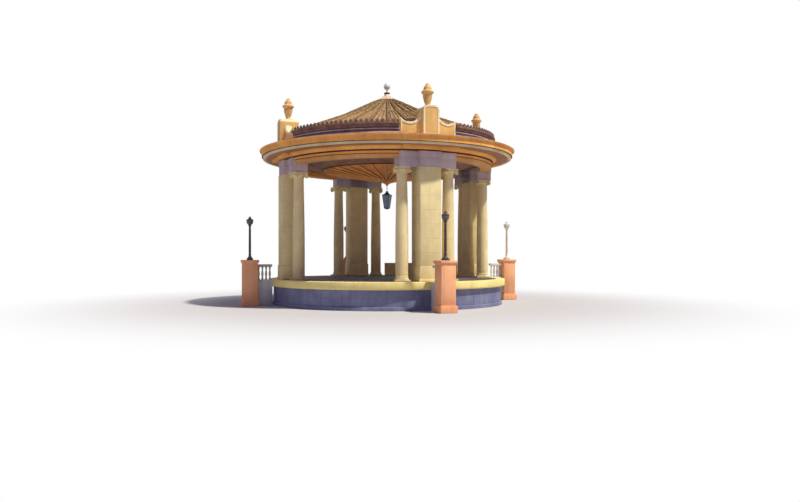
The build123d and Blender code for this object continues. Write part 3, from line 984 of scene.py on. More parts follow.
class Finishes:
    """Every finish on the bandstand, made once and handed out by name."""

    def __init__(self) -> None:
        """Make the materials."""
        effects = Effects()
        self._made = {finish.name: finish.make(effects) for finish in FINISHES}

    def dress(self, piece: Mesh, name: str) -> None:
        """Give a whole piece one finish."""
        piece.data.materials.clear()
        piece.data.materials.append(self._made[name])

    def complete(self, looks: dict[Mesh, str]) -> None:
        """Give each piece its finish and shade it smooth.

        Args:
            looks: The name of each piece's finish.
        """
        for piece, name in looks.items():
            self.dress(piece, name)
            Bench.smooth(piece)

    def band(self, piece: Mesh, name: str, test: Test) -> None:
        """Give the faces that pass a test their own finish.

        Args:
            piece: The piece, already dressed.
            name: The finish's name.
            test: Takes a face's centre and normal and says whether it is meant.
        """
        piece.data.materials.append(self._made[name])
        index = len(piece.data.materials) - 1
        for face in piece.data.polygons:
            if test(face.center, face.normal):
                face.material_index = index


@dataclass
class Piece:
    """A finished piece and what the record has to know of it."""

    mesh: Mesh
    slot: str
    stands_for: list[str] = field(default_factory=list)

    def hand_over(self) -> None:
        """Fix the piece to the frame and report it."""
        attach(self.mesh, "root")
        if self.stands_for:
            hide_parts(*self.stands_for)
        log.info("%s: %d faces", self.mesh.name, len(self.mesh.data.polygons))


@dataclass
class Assembly:
    """One part of the bandstand, with the finishes that it is dressed in."""

    finishes: Finishes


@dataclass
class Platform(Assembly):
    """The base wall, the slab with its nosing, and the paving laid in it, dark with painted shade."""

    floor: float = FLOOR
    slab_low: float = 0.87
    slab_radius: float = 5.7
    slab_stones: int = 32
    wall_inner: float = 5.2
    wall_radius: float = 5.5
    wall_stones: int = 40
    plinth_radius: float = 5.57
    plinth_high: float = 0.16
    paved_radius: float = 5.3
    rings: int = 6
    gap: float = 0.006

    def build(self) -> list[Piece]:
        """Make the wall, the slab and the floor.

        Returns:
            The pieces.
        """
        wall, edge, paving = self._wall(), self._edge(), self._paving()
        # Painted shade: the base wall is blue-purple for the shadow under the slab's nosing
        # Painted shade: the paving is dark for the shadow that lies on it under the roof
        self.finishes.complete({wall: "base_stone", edge: "platform_stone", paving: "painted_shade_floor"})
        return [
            Piece(wall, "base_stone", ["foundation"]),
            Piece(edge, "platform_stone", ["platform_slab"]),
            Piece(paving, "platform_stone"),
        ]

    def _wall(self) -> Mesh:
        """The low plinth and two courses on it, the lower one set half a stone on.

        Returns:
            The wall.
        """
        inner, face, foot, shelf = self.wall_inner, self.wall_radius, self.plinth_radius, self.plinth_high
        outline = [(inner, 0), (foot, 0), (foot, shelf - 0.03)]
        outline += wave((foot, shelf - 0.03), (face, shelf), -0.01, 4) + [(inner, shelf)]
        courses = [Bench.stones("base_plinth", outline, self.wall_stones)]
        middle = (shelf + self.slab_low) / 2
        for low, high, first in ((shelf, middle, 180 / self.wall_stones), (middle, self.slab_low, 0.0)):
            outline = [(inner, low), (face - 0.008, low), (face, low + 0.006), (face, high - 0.006)]
            outline += [(face - 0.008, high), (inner, high)]
            courses.append(Bench.stones("base_course", outline, self.wall_stones, first))
        return Bench.join("base_wall", courses)

    def _edge(self) -> Mesh:
        """The ring of slabs with its rounded nosing.

        Returns:
            The ring.
        """
        low, high, inner, out = self.slab_low, self.floor, self.paved_radius, self.slab_radius
        outline = [(inner, low), (out - 0.06, low)]
        outline += wave((out - 0.06, low), (out, low + 0.06), -0.012) + [(out, high - 0.02)]
        outline += wave((out, high - 0.02), (out - 0.02, high), -0.004, 3) + [(inner, high)]
        return Bench.stones("slab_edge", outline, self.slab_stones)

    def _paving(self) -> Mesh:
        """Rings of paving stones round a disc, on a bed that closes the joints between them.

        Returns:
            The floor.
        """
        low, bed, rise, top = self.slab_low + 0.03, self.floor - 0.01, self.floor - 0.04, self.floor
        span, wide = self.paved_radius, self.paved_radius / self.rings
        made = [Bench.turned("bed", [(0, low), (span, low), (span, bed), (0, bed)], 96)]
        for index in range(self.rings):
            near, far = wide * index, wide * (index + 1) - self.gap
            outline = [(near, rise), (far, rise), (far, top - 0.004), (far - 0.004, top)]
            if index:
                outline += [(near + 0.004, top), (near, top - 0.004)]
                count, steps = 6 * (index + 1), max(2, 12 // index)
                made.append(Bench.stones("ring", outline, count, 3.0 * index, steps=steps))
            else:
                made.append(Bench.turned("centre", [*outline, (0, top)], 48))
        return Bench.join("floor_paving", made)


@dataclass
class Colonnade(Assembly):
    """The columns, their capitals and the square piers."""

    floor: float = FLOOR
    circle: float = GROUP_CIRCLE
    shaft_top: float = 5.72
    capital_top: float = 6.04
    base_high: float = 0.25
    foot_radius: float = 0.275
    neck_radius: float = 0.225
    straight: float = 0.3
    swelling: float = 1.4
    plinth: float = 0.33
    abacus_half: float = 0.29
    abacus_out: float = 0.35
    abacus_hollow: float = 0.045
    scroll_out: float = 0.362
    scroll_half: float = 0.055
    scroll_radius: float = 0.088
    pier: float = 0.48
    dado_top: float = 1.85
    steps: int = 40

    def build(self) -> list[Piece]:
        """Make one of each and place the copies.

        Returns:
            The pieces.
        """
        turns = [angle + side * COLUMN_TURN for angle in Corner.turns() for side in (-1, 1)]
        shafts = Bench.round_copies("column_shafts", self._column(), turns)
        capitals = Bench.round_copies("ionic_capitals", self._capital(), turns)
        piers = Bench.round_copies("square_piers", self._pier(), Corner.turns())
        self.finishes.complete({shafts: "column_stone", capitals: "column_stone", piers: "pier_stone"})
        return [
            Piece(shafts, "column_stone", Corner.nodes("columns")),
            Piece(capitals, "column_stone", Corner.nodes("capitals")),
            Piece(piers, "pier_stone", Corner.nodes("pier")),
        ]

    def _column(self) -> Mesh:
        """One column on +X: square plinth, two rolls with a hollow between, and a swelling shaft.

        Returns:
            The column.
        """
        top, foot, neck = self.shaft_top - self.floor, self.foot_radius, self.neck_radius
        points = [(0, 0.06), (foot + 0.03, 0.06)]
        points += half_round(foot + 0.02, 0.065, 0.125, 0.033)
        points += wave((foot + 0.02, 0.125), (foot + 0.01, 0.155), 0.008, 4)
        points += half_round(foot + 0.008, 0.16, 0.195, 0.018)
        points += wave((foot + 0.006, 0.2), (foot, self.base_high), 0.004, 3)
        start, parts = self.base_high, 12
        for index in range(1, parts + 1):
            share = index / parts
            drawn = (foot - neck) * max(0.0, (share - self.straight) / (1 - self.straight)) ** self.swelling
            points.append((foot - drawn, start + (top - 0.04 - start) * share))
        points += half_round(neck, top - 0.04, top - 0.01, 0.018, 6) + [(neck, top), (0, top)]
        shaft = Bench.turned("shaft", points, self.steps)
        plinth = Bench.tier("plinth", 0, self.plinth, 0, 0.07, 0.008)
        return Bench.place(Bench.join("column", [shaft, plinth]), (self.circle, 0, self.floor))

    def _capital(self) -> Mesh:
        """One capital on +X: an egg-shaped bell, four corner scrolls and a hollow-sided abacus.

        Returns:
            The capital.
        """
        neck, high = self.neck_radius, self.capital_top - self.shaft_top
        outline = [(0, 0), (neck, 0), (neck + 0.01, 0.1)]
        outline += half_round(neck + 0.01, 0.1, 0.12, 0.012, 4)
        outline += wave((neck + 0.012, 0.125), (neck + 0.075, 0.2), -0.02)
        outline += wave((neck + 0.075, 0.2), (neck + 0.05, 0.26), -0.008, 3) + [(0, 0.26)]
        bell = Bench.turned("bell", outline, self.steps)
        abacus = Bench.plate("abacus", self._hollow_square(), 0.06)
        Bench.bevel(abacus, 0.006)
        Bench.place(abacus, (0, 0, high - 0.03), tilt=(90, 0, 0))
        scroll = Bench.place(self._scroll(), (self.scroll_out, 0, 0.16))
        scrolls = Bench.round_copies("scrolls", scroll, [45, 135, 225, 315])
        capital = Bench.join("capital", [bell, abacus, scrolls])
        return Bench.place(capital, (self.circle, 0, self.shaft_top))

    def _hollow_square(self) -> list[Point]:
        """The abacus's outline: four hollow sides with the corners cut off.

        Returns:
            Its points.
        """
        made = []
        for quarter in range(4):
            turn = math.radians(90 * quarter)
            for share in (0, 0.25, 0.5, 0.75, 1):
                along = self.abacus_half * (2 * share - 1)
                out = self.abacus_out - self.abacus_hollow * (1 - (2 * share - 1) ** 2)
                x = out * math.cos(turn) - along * math.sin(turn)
                made.append((x, out * math.sin(turn) + along * math.cos(turn)))
        return made

    def _scroll(self) -> Mesh:
        """One scroll, its axis along Y: a pinched drum, with a rolled band and an eye on each side.

        Returns:
            The scroll.
        """
        half, out, parts = self.scroll_half, self.scroll_radius, 22
        outline = [(0, -half), (out, -half), *wave((out, -half), (out, half), 0.014), (0, half)]
        made = [Bench.place(Bench.turned("drum", outline, 20), tilt=(90, 0, 0))]
        curl = []
        for share in (index / parts for index in range(parts + 1)):
            turn, wide = math.radians(90 - 540 * share), out + 0.01 - 0.07 * share
            curl.append((wide * math.cos(turn), wide * math.sin(turn)))
        for side in (-1, 1):
            band = Bench.ribbon("band", curl, 0.012, 0.012)
            made.append(Bench.place(band, (0, side * (half + 0.003), 0)))
            Bench.clear()
            bpy.ops.mesh.primitive_uv_sphere_add(
                segments=10, ring_count=6, radius=0.022, location=(0, side * half, 0)
            )
            Bench.settle(bpy.context.object)
            made.append(bpy.context.object)
        return Bench.join("scroll", made)

    def _pier(self) -> Mesh:
        """One pier on +X: a foot, a dado and a plain shaft.

        Returns:
            The pier.
        """
        base, half = self.floor, self.pier
        foot = Bench.tier("foot", self.circle, half + 0.06, base, base + 0.12, 0.02, 3)
        dado = Bench.tier("dado", self.circle, half + 0.03, base + 0.11, self.dado_top, 0.012)
        shaft = Bench.tier("shaft", self.circle, half, self.dado_top - 0.01, self.capital_top, 0.01)
        return Bench.join("pier", [foot, dado, shaft])


@dataclass
class Entablature(Assembly):
    """The blocks over the groups, the beams between them, the cornice and the attic ring."""

    impost_low: float = 6.04
    impost_step: float = 6.45
    impost_top: float = 6.70
    impost_back: float = 4.302
    impost_half: float = 1.295
    wing_front: float = 5.052
    pier_front: float = 5.252
    pier_half: float = 0.49
    beam_inner: float = 4.55
    beam_face: float = 5.055
    beam_stones: int = 7
    inner: float = 4.7
    rest: float = 5.1
    bed: float = 5.16
    bed_low: float = 6.76
    soffit: float = 6.90
    soffit_inner: float = 5.3
    groove: float = 5.84
    band: float = 6.0
    fascia: float = 6.06
    fascia_low: float = 6.99
    crown: float = 6.16
    crown_low: float = 7.21
    crown_inner: float = 5.23
    top: float = 7.34
    break_front: float = 5.43
    attic_face: float = 5.15
    attic_foot: float = 5.19
    attic_top: float = 7.80
    attic_stones: int = 12
    stones: int = 48

    def build(self) -> list[Piece]:
        """Make the ring courses and the four blocks.

        Returns:
            The pieces.
        """
        made = [step() for step in (self._cornice, self._beams, self._imposts, self._attic)]
        for piece in made:
            Bench.smooth(piece.mesh)
        return made

    def _cornice(self) -> Piece:
        """The cornice ring with its coloured bands, painted shade and painted shadow lines among them, and
        the bed mould's breaks over the groups.

        Returns:
            The cornice.
        """
        finishes = self.finishes
        ring = Bench.stones("cornice_ring", self._cornice_outline(), self.stones)
        soffit = (self.soffit_inner, self.band - 0.01)
        line = (self.fascia_low - 0.021, self.fascia_low + 0.003)
        finishes.dress(ring, "ochre_stone")
        # Painted shade: the soffit's downward faces get a darker brown
        finishes.band(ring, "soffit_painted_shade", lambda c, n: n.z < -0.5 and soffit[0] < reach(c) < soffit[1])
        finishes.band(ring, "pale_band_stone", lambda c, n: reach(c) > self.groove - 0.01 and c.z < line[0])
        # Painted shadow: a dark line under the fascia's lip
        finishes.band(
            ring, "painted_shadow_line", lambda c, n: reach(c) > self.band - 0.02 and line[0] < c.z < line[1]
        )
        finishes.band(ring, "crown_stone", lambda c, n: reach(c) > 5.2 and c.z > self.crown_low + 0.045)
        # Painted shadow: a dark line along the rest at the bed mould's foot
        finishes.band(ring, "painted_shadow_line", lambda c, n: c.z < self.bed_low + 0.001 and reach(c) > 5.05)
        low, high = (self.attic_face, -self.impost_half), (self.break_front, self.impost_half)
        block = Bench.block("break", (*low, self.bed_low), (*high, self.soffit), 0.01)
        breaks = Bench.round_copies("breaks", block, Corner.turns())
        finishes.dress(breaks, "ochre_stone")
        return Piece(Bench.join("cornice_ring", [ring, breaks]), "cornice_stone", ["cornice"])

    def _cornice_outline(self) -> list[Point]:
        """The cornice's outline: rest, bed mould, soffit with its groove, pale band, fascia and crown.

        Returns:
            Its points.
        """
        bed, soffit, fascia, crown = self.bed_low, self.soffit, self.fascia_low, self.crown_low
        inner, lip = self.soffit_inner, self.fascia + 0.015
        outline = [(self.inner, self.impost_top), (self.rest, self.impost_top), (self.rest, bed)]
        outline += [(self.bed, bed)] + wave((self.bed, bed), (inner - 0.02, soffit - 0.03), 0.02)
        outline += [(inner, soffit - 0.03), (inner, soffit), (self.groove, soffit)]
        outline += [(self.groove, soffit + 0.025), (self.groove + 0.06, soffit + 0.025)]
        outline += [(self.groove + 0.06, soffit), (self.band, soffit), (self.band, fascia - 0.02)]
        outline += wave((self.band, fascia - 0.02), (self.band + 0.03, fascia - 0.005), 0.006, 3)
        outline += [(self.band + 0.03, fascia), (self.fascia, fascia), (self.fascia, crown - 0.015)]
        outline += [(lip, crown - 0.015), (lip, crown)]
        outline += wave((lip, crown), (self.crown - 0.01, crown + 0.045), -0.014)
        outline += [(self.crown, crown + 0.045), (self.crown, crown + 0.06)]
        return outline + [(self.crown_inner, self.top), (self.inner, self.top)]

    def _beams(self) -> Piece:
        """The curved beam over each opening: two steps and a small roll under the top edge, with a painted
        shadow line along the roll.

        Returns:
            The beams.
        """
        finishes = self.finishes
        inner, face, low, high = self.beam_inner, self.beam_face, self.impost_step, self.impost_top
        outline = [(inner, low), (face - 0.015, low), (face, low + 0.015), (face, low + 0.125)]
        outline += [(face + 0.015, low + 0.125)]
        outline += half_round(face + 0.013, low + 0.13, low + 0.155, 0.01, 4)
        outline += [(face + 0.025, low + 0.16), (face + 0.025, high), (inner, high)]
        beams = Bench.join("ring_beams", Bench.lengths("beam", outline, self.beam_stones, 6))
        finishes.dress(beams, "beam_stone")
        finishes.band(beams, "ochre_stone", lambda c, n: c.z > low + 0.126 or reach(c) < inner + 0.05)
        # Painted shadow: a dark line along the roll under the beam's top edge
        roll = low + 0.142
        finishes.band(beams, "painted_shadow_line", lambda c, n: reach(c) > 5.0 and abs(c.z - roll) < 0.015)
        return Piece(beams, "cornice_stone", Side.nodes("beam"))

    def _imposts(self) -> Piece:
        """The stepped block over each group, with its crown, coloured lilac as painted shade.

        Returns:
            The blocks.
        """
        blocks = []
        tiers = ((self.impost_low, self.impost_step, 0.0), (self.impost_step, self.impost_top, 0.025))
        for low, high, step in tiers:
            parts = ((self.wing_front, self.impost_half), (self.pier_front, self.pier_half + step))
            for front, half in parts:
                near, far = (self.impost_back - step, -half, low), (front + step, half, high)
                blocks.append(Bench.block("block", near, far, 0.012))
        imposts = Bench.round_copies("imposts", Bench.join("impost", blocks), Corner.turns())
        # Painted shade: lilac for the cornice's shadow on the imposts
        self.finishes.dress(imposts, "impost_stone")
        return Piece(imposts, "pier_stone", Corner.nodes("impost"))

    def _attic(self) -> Piece:
        """The attic between the parapets: a lilac foot, two dark bands with a fillet, and a brown head.

        Returns:
            The attic.
        """
        finishes = self.finishes
        inner, face, foot, low, high = self.inner, self.attic_face, self.attic_foot, self.top, self.attic_top
        outline = [(inner, low), (foot, low), (foot, low + 0.13)]
        outline += wave((foot, low + 0.13), (face, low + 0.16), -0.008, 3)
        outline += [(face, low + 0.26), (face + 0.018, low + 0.265), (face + 0.018, low + 0.295)]
        outline += [(face, low + 0.3), (face, high - 0.1)]
        outline += wave((face, high - 0.1), (foot, high - 0.07), -0.01, 3) + [(foot, high), (inner, high)]
        attic = Bench.join("attic_wall", Bench.lengths("attic", outline, self.attic_stones))
        finishes.dress(attic, "attic_stone")
        finishes.band(attic, "attic_fillet_stone", lambda c, n: c.z < low + 0.155)
        out, line = face + 0.001, low + 0.28
        finishes.band(attic, "attic_fillet_stone", lambda c, n: reach(c) > out and abs(c.z - line) < 0.021)
        finishes.band(attic, "eaves_tile", lambda c, n: c.z > high - 0.099)
        return Piece(attic, "attic_stone", ["attic_ring"])


@dataclass(frozen=True)
class Slope:
    """One straight part of the roof's outline, and where its rows of tiles lie between two rolls."""

    foot: Point
    head: Point
    courses: int
    rows: tuple[float, ...]

    @property
    def lean(self) -> float:
        """How steep the slope is, in radians."""
        return math.atan2(self.head[1] - self.foot[1], self.foot[0] - self.head[0])

    @property
    def step(self) -> float:
        """How much of each course shows, along the slope."""
        return math.dist(self.foot, self.head) / self.courses

    def along(self, course: float, off: float = 0.0) -> Point:
        """Find a point on the slope.

        Args:
            course: How far up it lies, in courses.
            off: How far it stands off the slope.

        Returns:
            Its radius and height.
        """
        share = course / self.courses
        out = self.foot[0] + (self.head[0] - self.foot[0]) * share + off * math.sin(self.lean)
        return out, self.foot[1] + (self.head[1] - self.foot[1]) * share + off * math.cos(self.lean)


@dataclass
class Roof(Assembly):
    """The cone of barrel tiles with its rolls, the upright tile ends at its edge, the cap and the ball."""

    attic_top: float = 7.80
    edge: Point = (5.0, 7.937)
    bend: Point = (2.4, 8.937)
    top: Point = (0.5, 9.877)
    bed_inner: float = 4.72
    bed_edge: float = 4.81
    bed_drop: float = 0.03
    rolls: int = 36
    overlap: float = 0.05
    eaves_radius: float = 5.25
    eaves_stones: int = 12
    end_top: float = 8.04
    end_half: float = 0.078
    ends: int = 144
    cap_high: float = 0.34
    cap_waist: Point = (0.19, 0.221)
    seams: int = 16
    ball_radius: float = 0.165
    ball_high: float = 0.375
    parapet_half: float = 1.34
    parapet_back: float = 4.75
    pedestal_half: float = 0.44
    pedestal_back: float = 4.45

    @property
    def slopes(self) -> tuple[Slope, Slope]:
        """The lower slope with three rows of tiles between two rolls, and the upper one with one row."""
        return Slope(self.edge, self.bend, 7, (-2.5, 0.0, 2.5)), Slope(self.bend, self.top, 5, (0.0,))

    def build(self) -> list[Piece]:
        """Make the bed, the tiles, the rolls, the eaves, the cap and the finial.

        Returns:
            The pieces.
        """
        courses = [(slope, index) for slope in self.slopes for index in range(slope.courses)]
        bed = self._bed()
        tiles = Bench.join("roof_tiles", [self._tiles(*course) for course in courses])
        rolls = Bench.join("roof_rolls", [self._roll(*course) for course in courses])
        eaves, cap, finial = self._eaves(), self._cap(), self._finial()
        self.finishes.complete({bed: "roof_bed_tile", tiles: "roof_tile", rolls: "roof_roll_tile"})
        self.finishes.complete({eaves: "eaves_tile", cap: "cap_metal", finial: "finial_metal"})
        ring_top = self.top[1] + self.cap_high + 0.09
        # The ring under the ball is dark iron
        self.finishes.band(finial, "dark_iron_and_painted_shade", lambda c, n: c.z < ring_top)
        return [
            Piece(bed, "roof_tile"),
            Piece(tiles, "roof_tile", ["roof_shell"]),
            Piece(rolls, "roof_tile"),
            Piece(eaves, "eaves_tile", ["eaves_tiles"]),
            Piece(cap, "cap_metal", ["roof_cap"]),
            Piece(finial, "finial_metal", ["roof_finial"]),
        ]

    def _bed(self) -> Mesh:
        """The dark under-tiles: a cone that steps down by a tile's thickness at each course's tail.

        Returns:
            The bed.
        """
        drop, inner = self.bed_drop, self.bed_inner
        tail = (self.edge[0] - self.bed_edge) * math.tan(self.slopes[0].lean)
        points = [(inner, self.attic_top), (self.bed_edge, self.attic_top)]
        points += [(self.bed_edge, self.edge[1] + tail - drop)]
        courses = [(slope, index) for slope in self.slopes for index in range(slope.courses)]
        for slope, index in courses[1:]:
            out, up = slope.along(index)
            points += [(out, up - drop - 0.008), (out - 0.002, up - drop + 0.006)]
        out, up = self.top
        points += [(out, up - drop), (0.3, up - drop), (0.3, up - 0.12)]
        points += [(self.bend[0], self.bend[1] - 0.11), (inner, self.edge[1])]
        return Bench.turned("roof_bed", points, 96, closed=True)

    @staticmethod
    def _barrel(wide: float, high: float, long: float, narrowing: float, lift: float = 0.012) -> Mesh:
        """One half-round tile along Y, its tail towards +Y and lifted over the tile below.

        Args:
            wide: Its tail's half width.
            high: Its tail's height.
            long: Its length.
            narrowing: The width of its head as a share of its tail's.
            lift: How far the tail is lifted.

        Returns:
            The tile.
        """
        thick = 0.012
        turns = [math.pi * i / 6 for i in range(7)]
        outline = [(wide * math.cos(t), high * math.sin(t)) for t in turns]
        wide, high = wide - thick, high - thick
        outline += [(wide * math.cos(t), high * math.sin(t)) for t in reversed(turns[::2])]
        tile = Bench.plate("barrel", outline, long)
        Bench.choose(tile, {v.index for v in tile.data.vertices if v.co.y < 0})
        bpy.ops.transform.resize(value=(narrowing, 1, narrowing), center_override=(0, -long / 2, 0))
        Bench.choose(tile, {v.index for v in tile.data.vertices if v.co.y > 0})
        bpy.ops.transform.translate(value=(0, 0, lift))
        Bench.leave()
        return tile

    def _lay(self, tile: Mesh, middle: Point, lean: float, rows: tuple[float, ...]) -> Mesh:
        """Lay a tile on the roof, repeat it all round, and take out those in a parapet's place.

        Args:
            tile: The tile, along Y.
            middle: The radius and height that its middle gets.
            lean: How steep it lies, in radians.
            rows: Where it lies in each ten degrees of the round, one value for each row.

        Returns:
            The whole course.
        """
        Bench.place(tile, (0, *middle), tilt=(-math.degrees(lean), 0, 0))
        group = Bench.round_copies("course", tile, [row - 90 for row in rows])
        Bench.array_round(group, self.rolls)
        self._clear_parapets(group, self.rolls * len(rows))
        return group

    def _tiles(self, slope: Slope, index: int) -> Mesh:
        """One course of cover tiles.

        Args:
            slope: The slope that it lies on.
            index: The course, from the slope's lower end.

        Returns:
            The course.
        """
        tail, head = slope.along(index)[0], slope.along(index + 1)[0]
        wide = 0.3 * math.tau * tail / (self.rolls * (len(slope.rows) + 1))
        tile = self._barrel(wide + 0.004, 0.044, slope.step + self.overlap, max(0.5, head / tail))
        return self._lay(tile, slope.along(index + 0.5, -self.bed_drop), slope.lean, slope.rows)

    def _roll(self, slope: Slope, index: int) -> Mesh:
        """One length of all the rolls, larger than the tiles beside it.

        Args:
            slope: The slope that it lies on.
            index: The length, from the slope's lower end.

        Returns:
            The lengths all round.
        """
        tail, head = slope.along(index)[0], slope.along(index + 1)[0]
        wide, narrowing = min(0.046 + 0.005 * tail, 0.05 * tail), max(0.75, math.sqrt(head / tail))
        roll = self._barrel(wide, 0.068, slope.step + self.overlap, narrowing, 0.01)
        return self._lay(roll, slope.along(index + 0.5, -0.02), slope.lean, (5.0,))

    def _clear_parapets(self, piece: Mesh, copies: int) -> None:
        """Take out of a ring the copies that a parapet or its pedestal stands in place of.

        Args:
            piece: The ring, made of equal copies one after another.
            copies: How many there are.
        """
        size = len(piece.data.vertices) // copies
        doomed = set()
        for index in range(copies):
            block = range(index * size, (index + 1) * size)
            centre = sum((piece.data.vertices[i].co for i in block), Vector()) / size
            turn = math.radians((math.degrees(math.atan2(centre.y, centre.x)) % 90) - 45)
            side, out = abs(reach(centre) * math.sin(turn)), reach(centre) * math.cos(turn)
            wall = side < self.parapet_half and reach(centre) > self.parapet_back
            if wall or (side < self.pedestal_half and out > self.pedestal_back):
                doomed.update(block)
        if doomed:
            Bench.choose(piece, doomed)
            bpy.ops.mesh.delete(type="VERT")
            Bench.leave()

    def _eaves(self) -> Mesh:
        """The eaves course between the parapets, and the upright tile ends that stand on it.

        Returns:
            The course.
        """
        low, out, inner = self.attic_top, self.eaves_radius, 4.8
        outline = [(inner, low), (out - 0.015, low), (out, low + 0.015), (out, low + 0.075)]
        outline += [(out - 0.01, low + 0.09), (self.edge[0], self.edge[1] - 0.006), (inner, 8.0)]
        lengths = Bench.lengths("eaves", outline, self.eaves_stones)
        wide, high = self.end_half, self.end_top - low - 0.05
        leaf = [(wide, high * 0.45), (wide * 0.86, high * 0.72), (wide * 0.5, high * 0.9)]
        end = Bench.plate("tile_end", [(-wide, 0), (wide, 0), *leaf, (0, high), *mirrored(leaf)], 0.05)
        Bench.bevel(end, 0.01)
        Bench.place(end, (0, out - 0.065, low + 0.05))
        barrel = self._barrel(0.07, 0.055, 0.3, 0.95, 0.0)
        Bench.place(barrel, (0, 5.04, 7.935), tilt=(-20, 0, 0))
        pair = Bench.place(Bench.join("tile_end", [end, barrel]), turn=-90)
        Bench.array_round(pair, self.ends)
        self._clear_parapets(pair, self.ends)
        return Bench.join("eaves_course", [*lengths, pair])

    def _cap(self) -> Mesh:
        """The flared cap with a beaded rim and standing seams.

        Returns:
            The cap.
        """
        rim, low = self.top
        high, waist = low + self.cap_high, (self.cap_waist[0], low + self.cap_waist[1])
        curve = wave((rim - 0.015, low + 0.034), waist, 0.02, 10)
        outline = [(0, low - 0.03), (rim - 0.01, low - 0.03)]
        outline += half_round(rim - 0.012, low, low + 0.03, 0.012, 5) + curve
        outline += wave(waist, (0.115, high), 0.012, 5) + [(0, high)]
        cap = Bench.turned("cap", outline, 48)
        seam = Bench.ribbon("seam", [(rim - 0.012, low + 0.03), *curve], 0.008, 0.012, rise=0.008)
        Bench.array_round(seam, self.seams)
        return Bench.join("seamed_cap", [cap, seam])

    def _finial(self) -> Mesh:
        """The ring, the neck, the ball and its tip.

        Returns:
            The finial.
        """
        low, neck = self.top[1] + self.cap_high, 0.0575
        ball = []
        for angle in range(17, 171, 9):
            turn = math.radians(angle)
            up = low + self.ball_high - self.ball_radius * math.cos(turn)
            ball.append((self.ball_radius * math.sin(turn), up))
        points = [(0, low), (0.1, low)] + half_round(0.105, low + 0.006, low + 0.08, 0.045)
        points += [(neck, low + 0.09)] + wave((neck, low + 0.09), (0.046, low + 0.2), 0.006, 4) + ball
        points += wave(ball[-1], (0.0, low + 0.63), 0.006, 6)
        return Bench.join("ball_finial", [Bench.turned("finial", points, 32)])


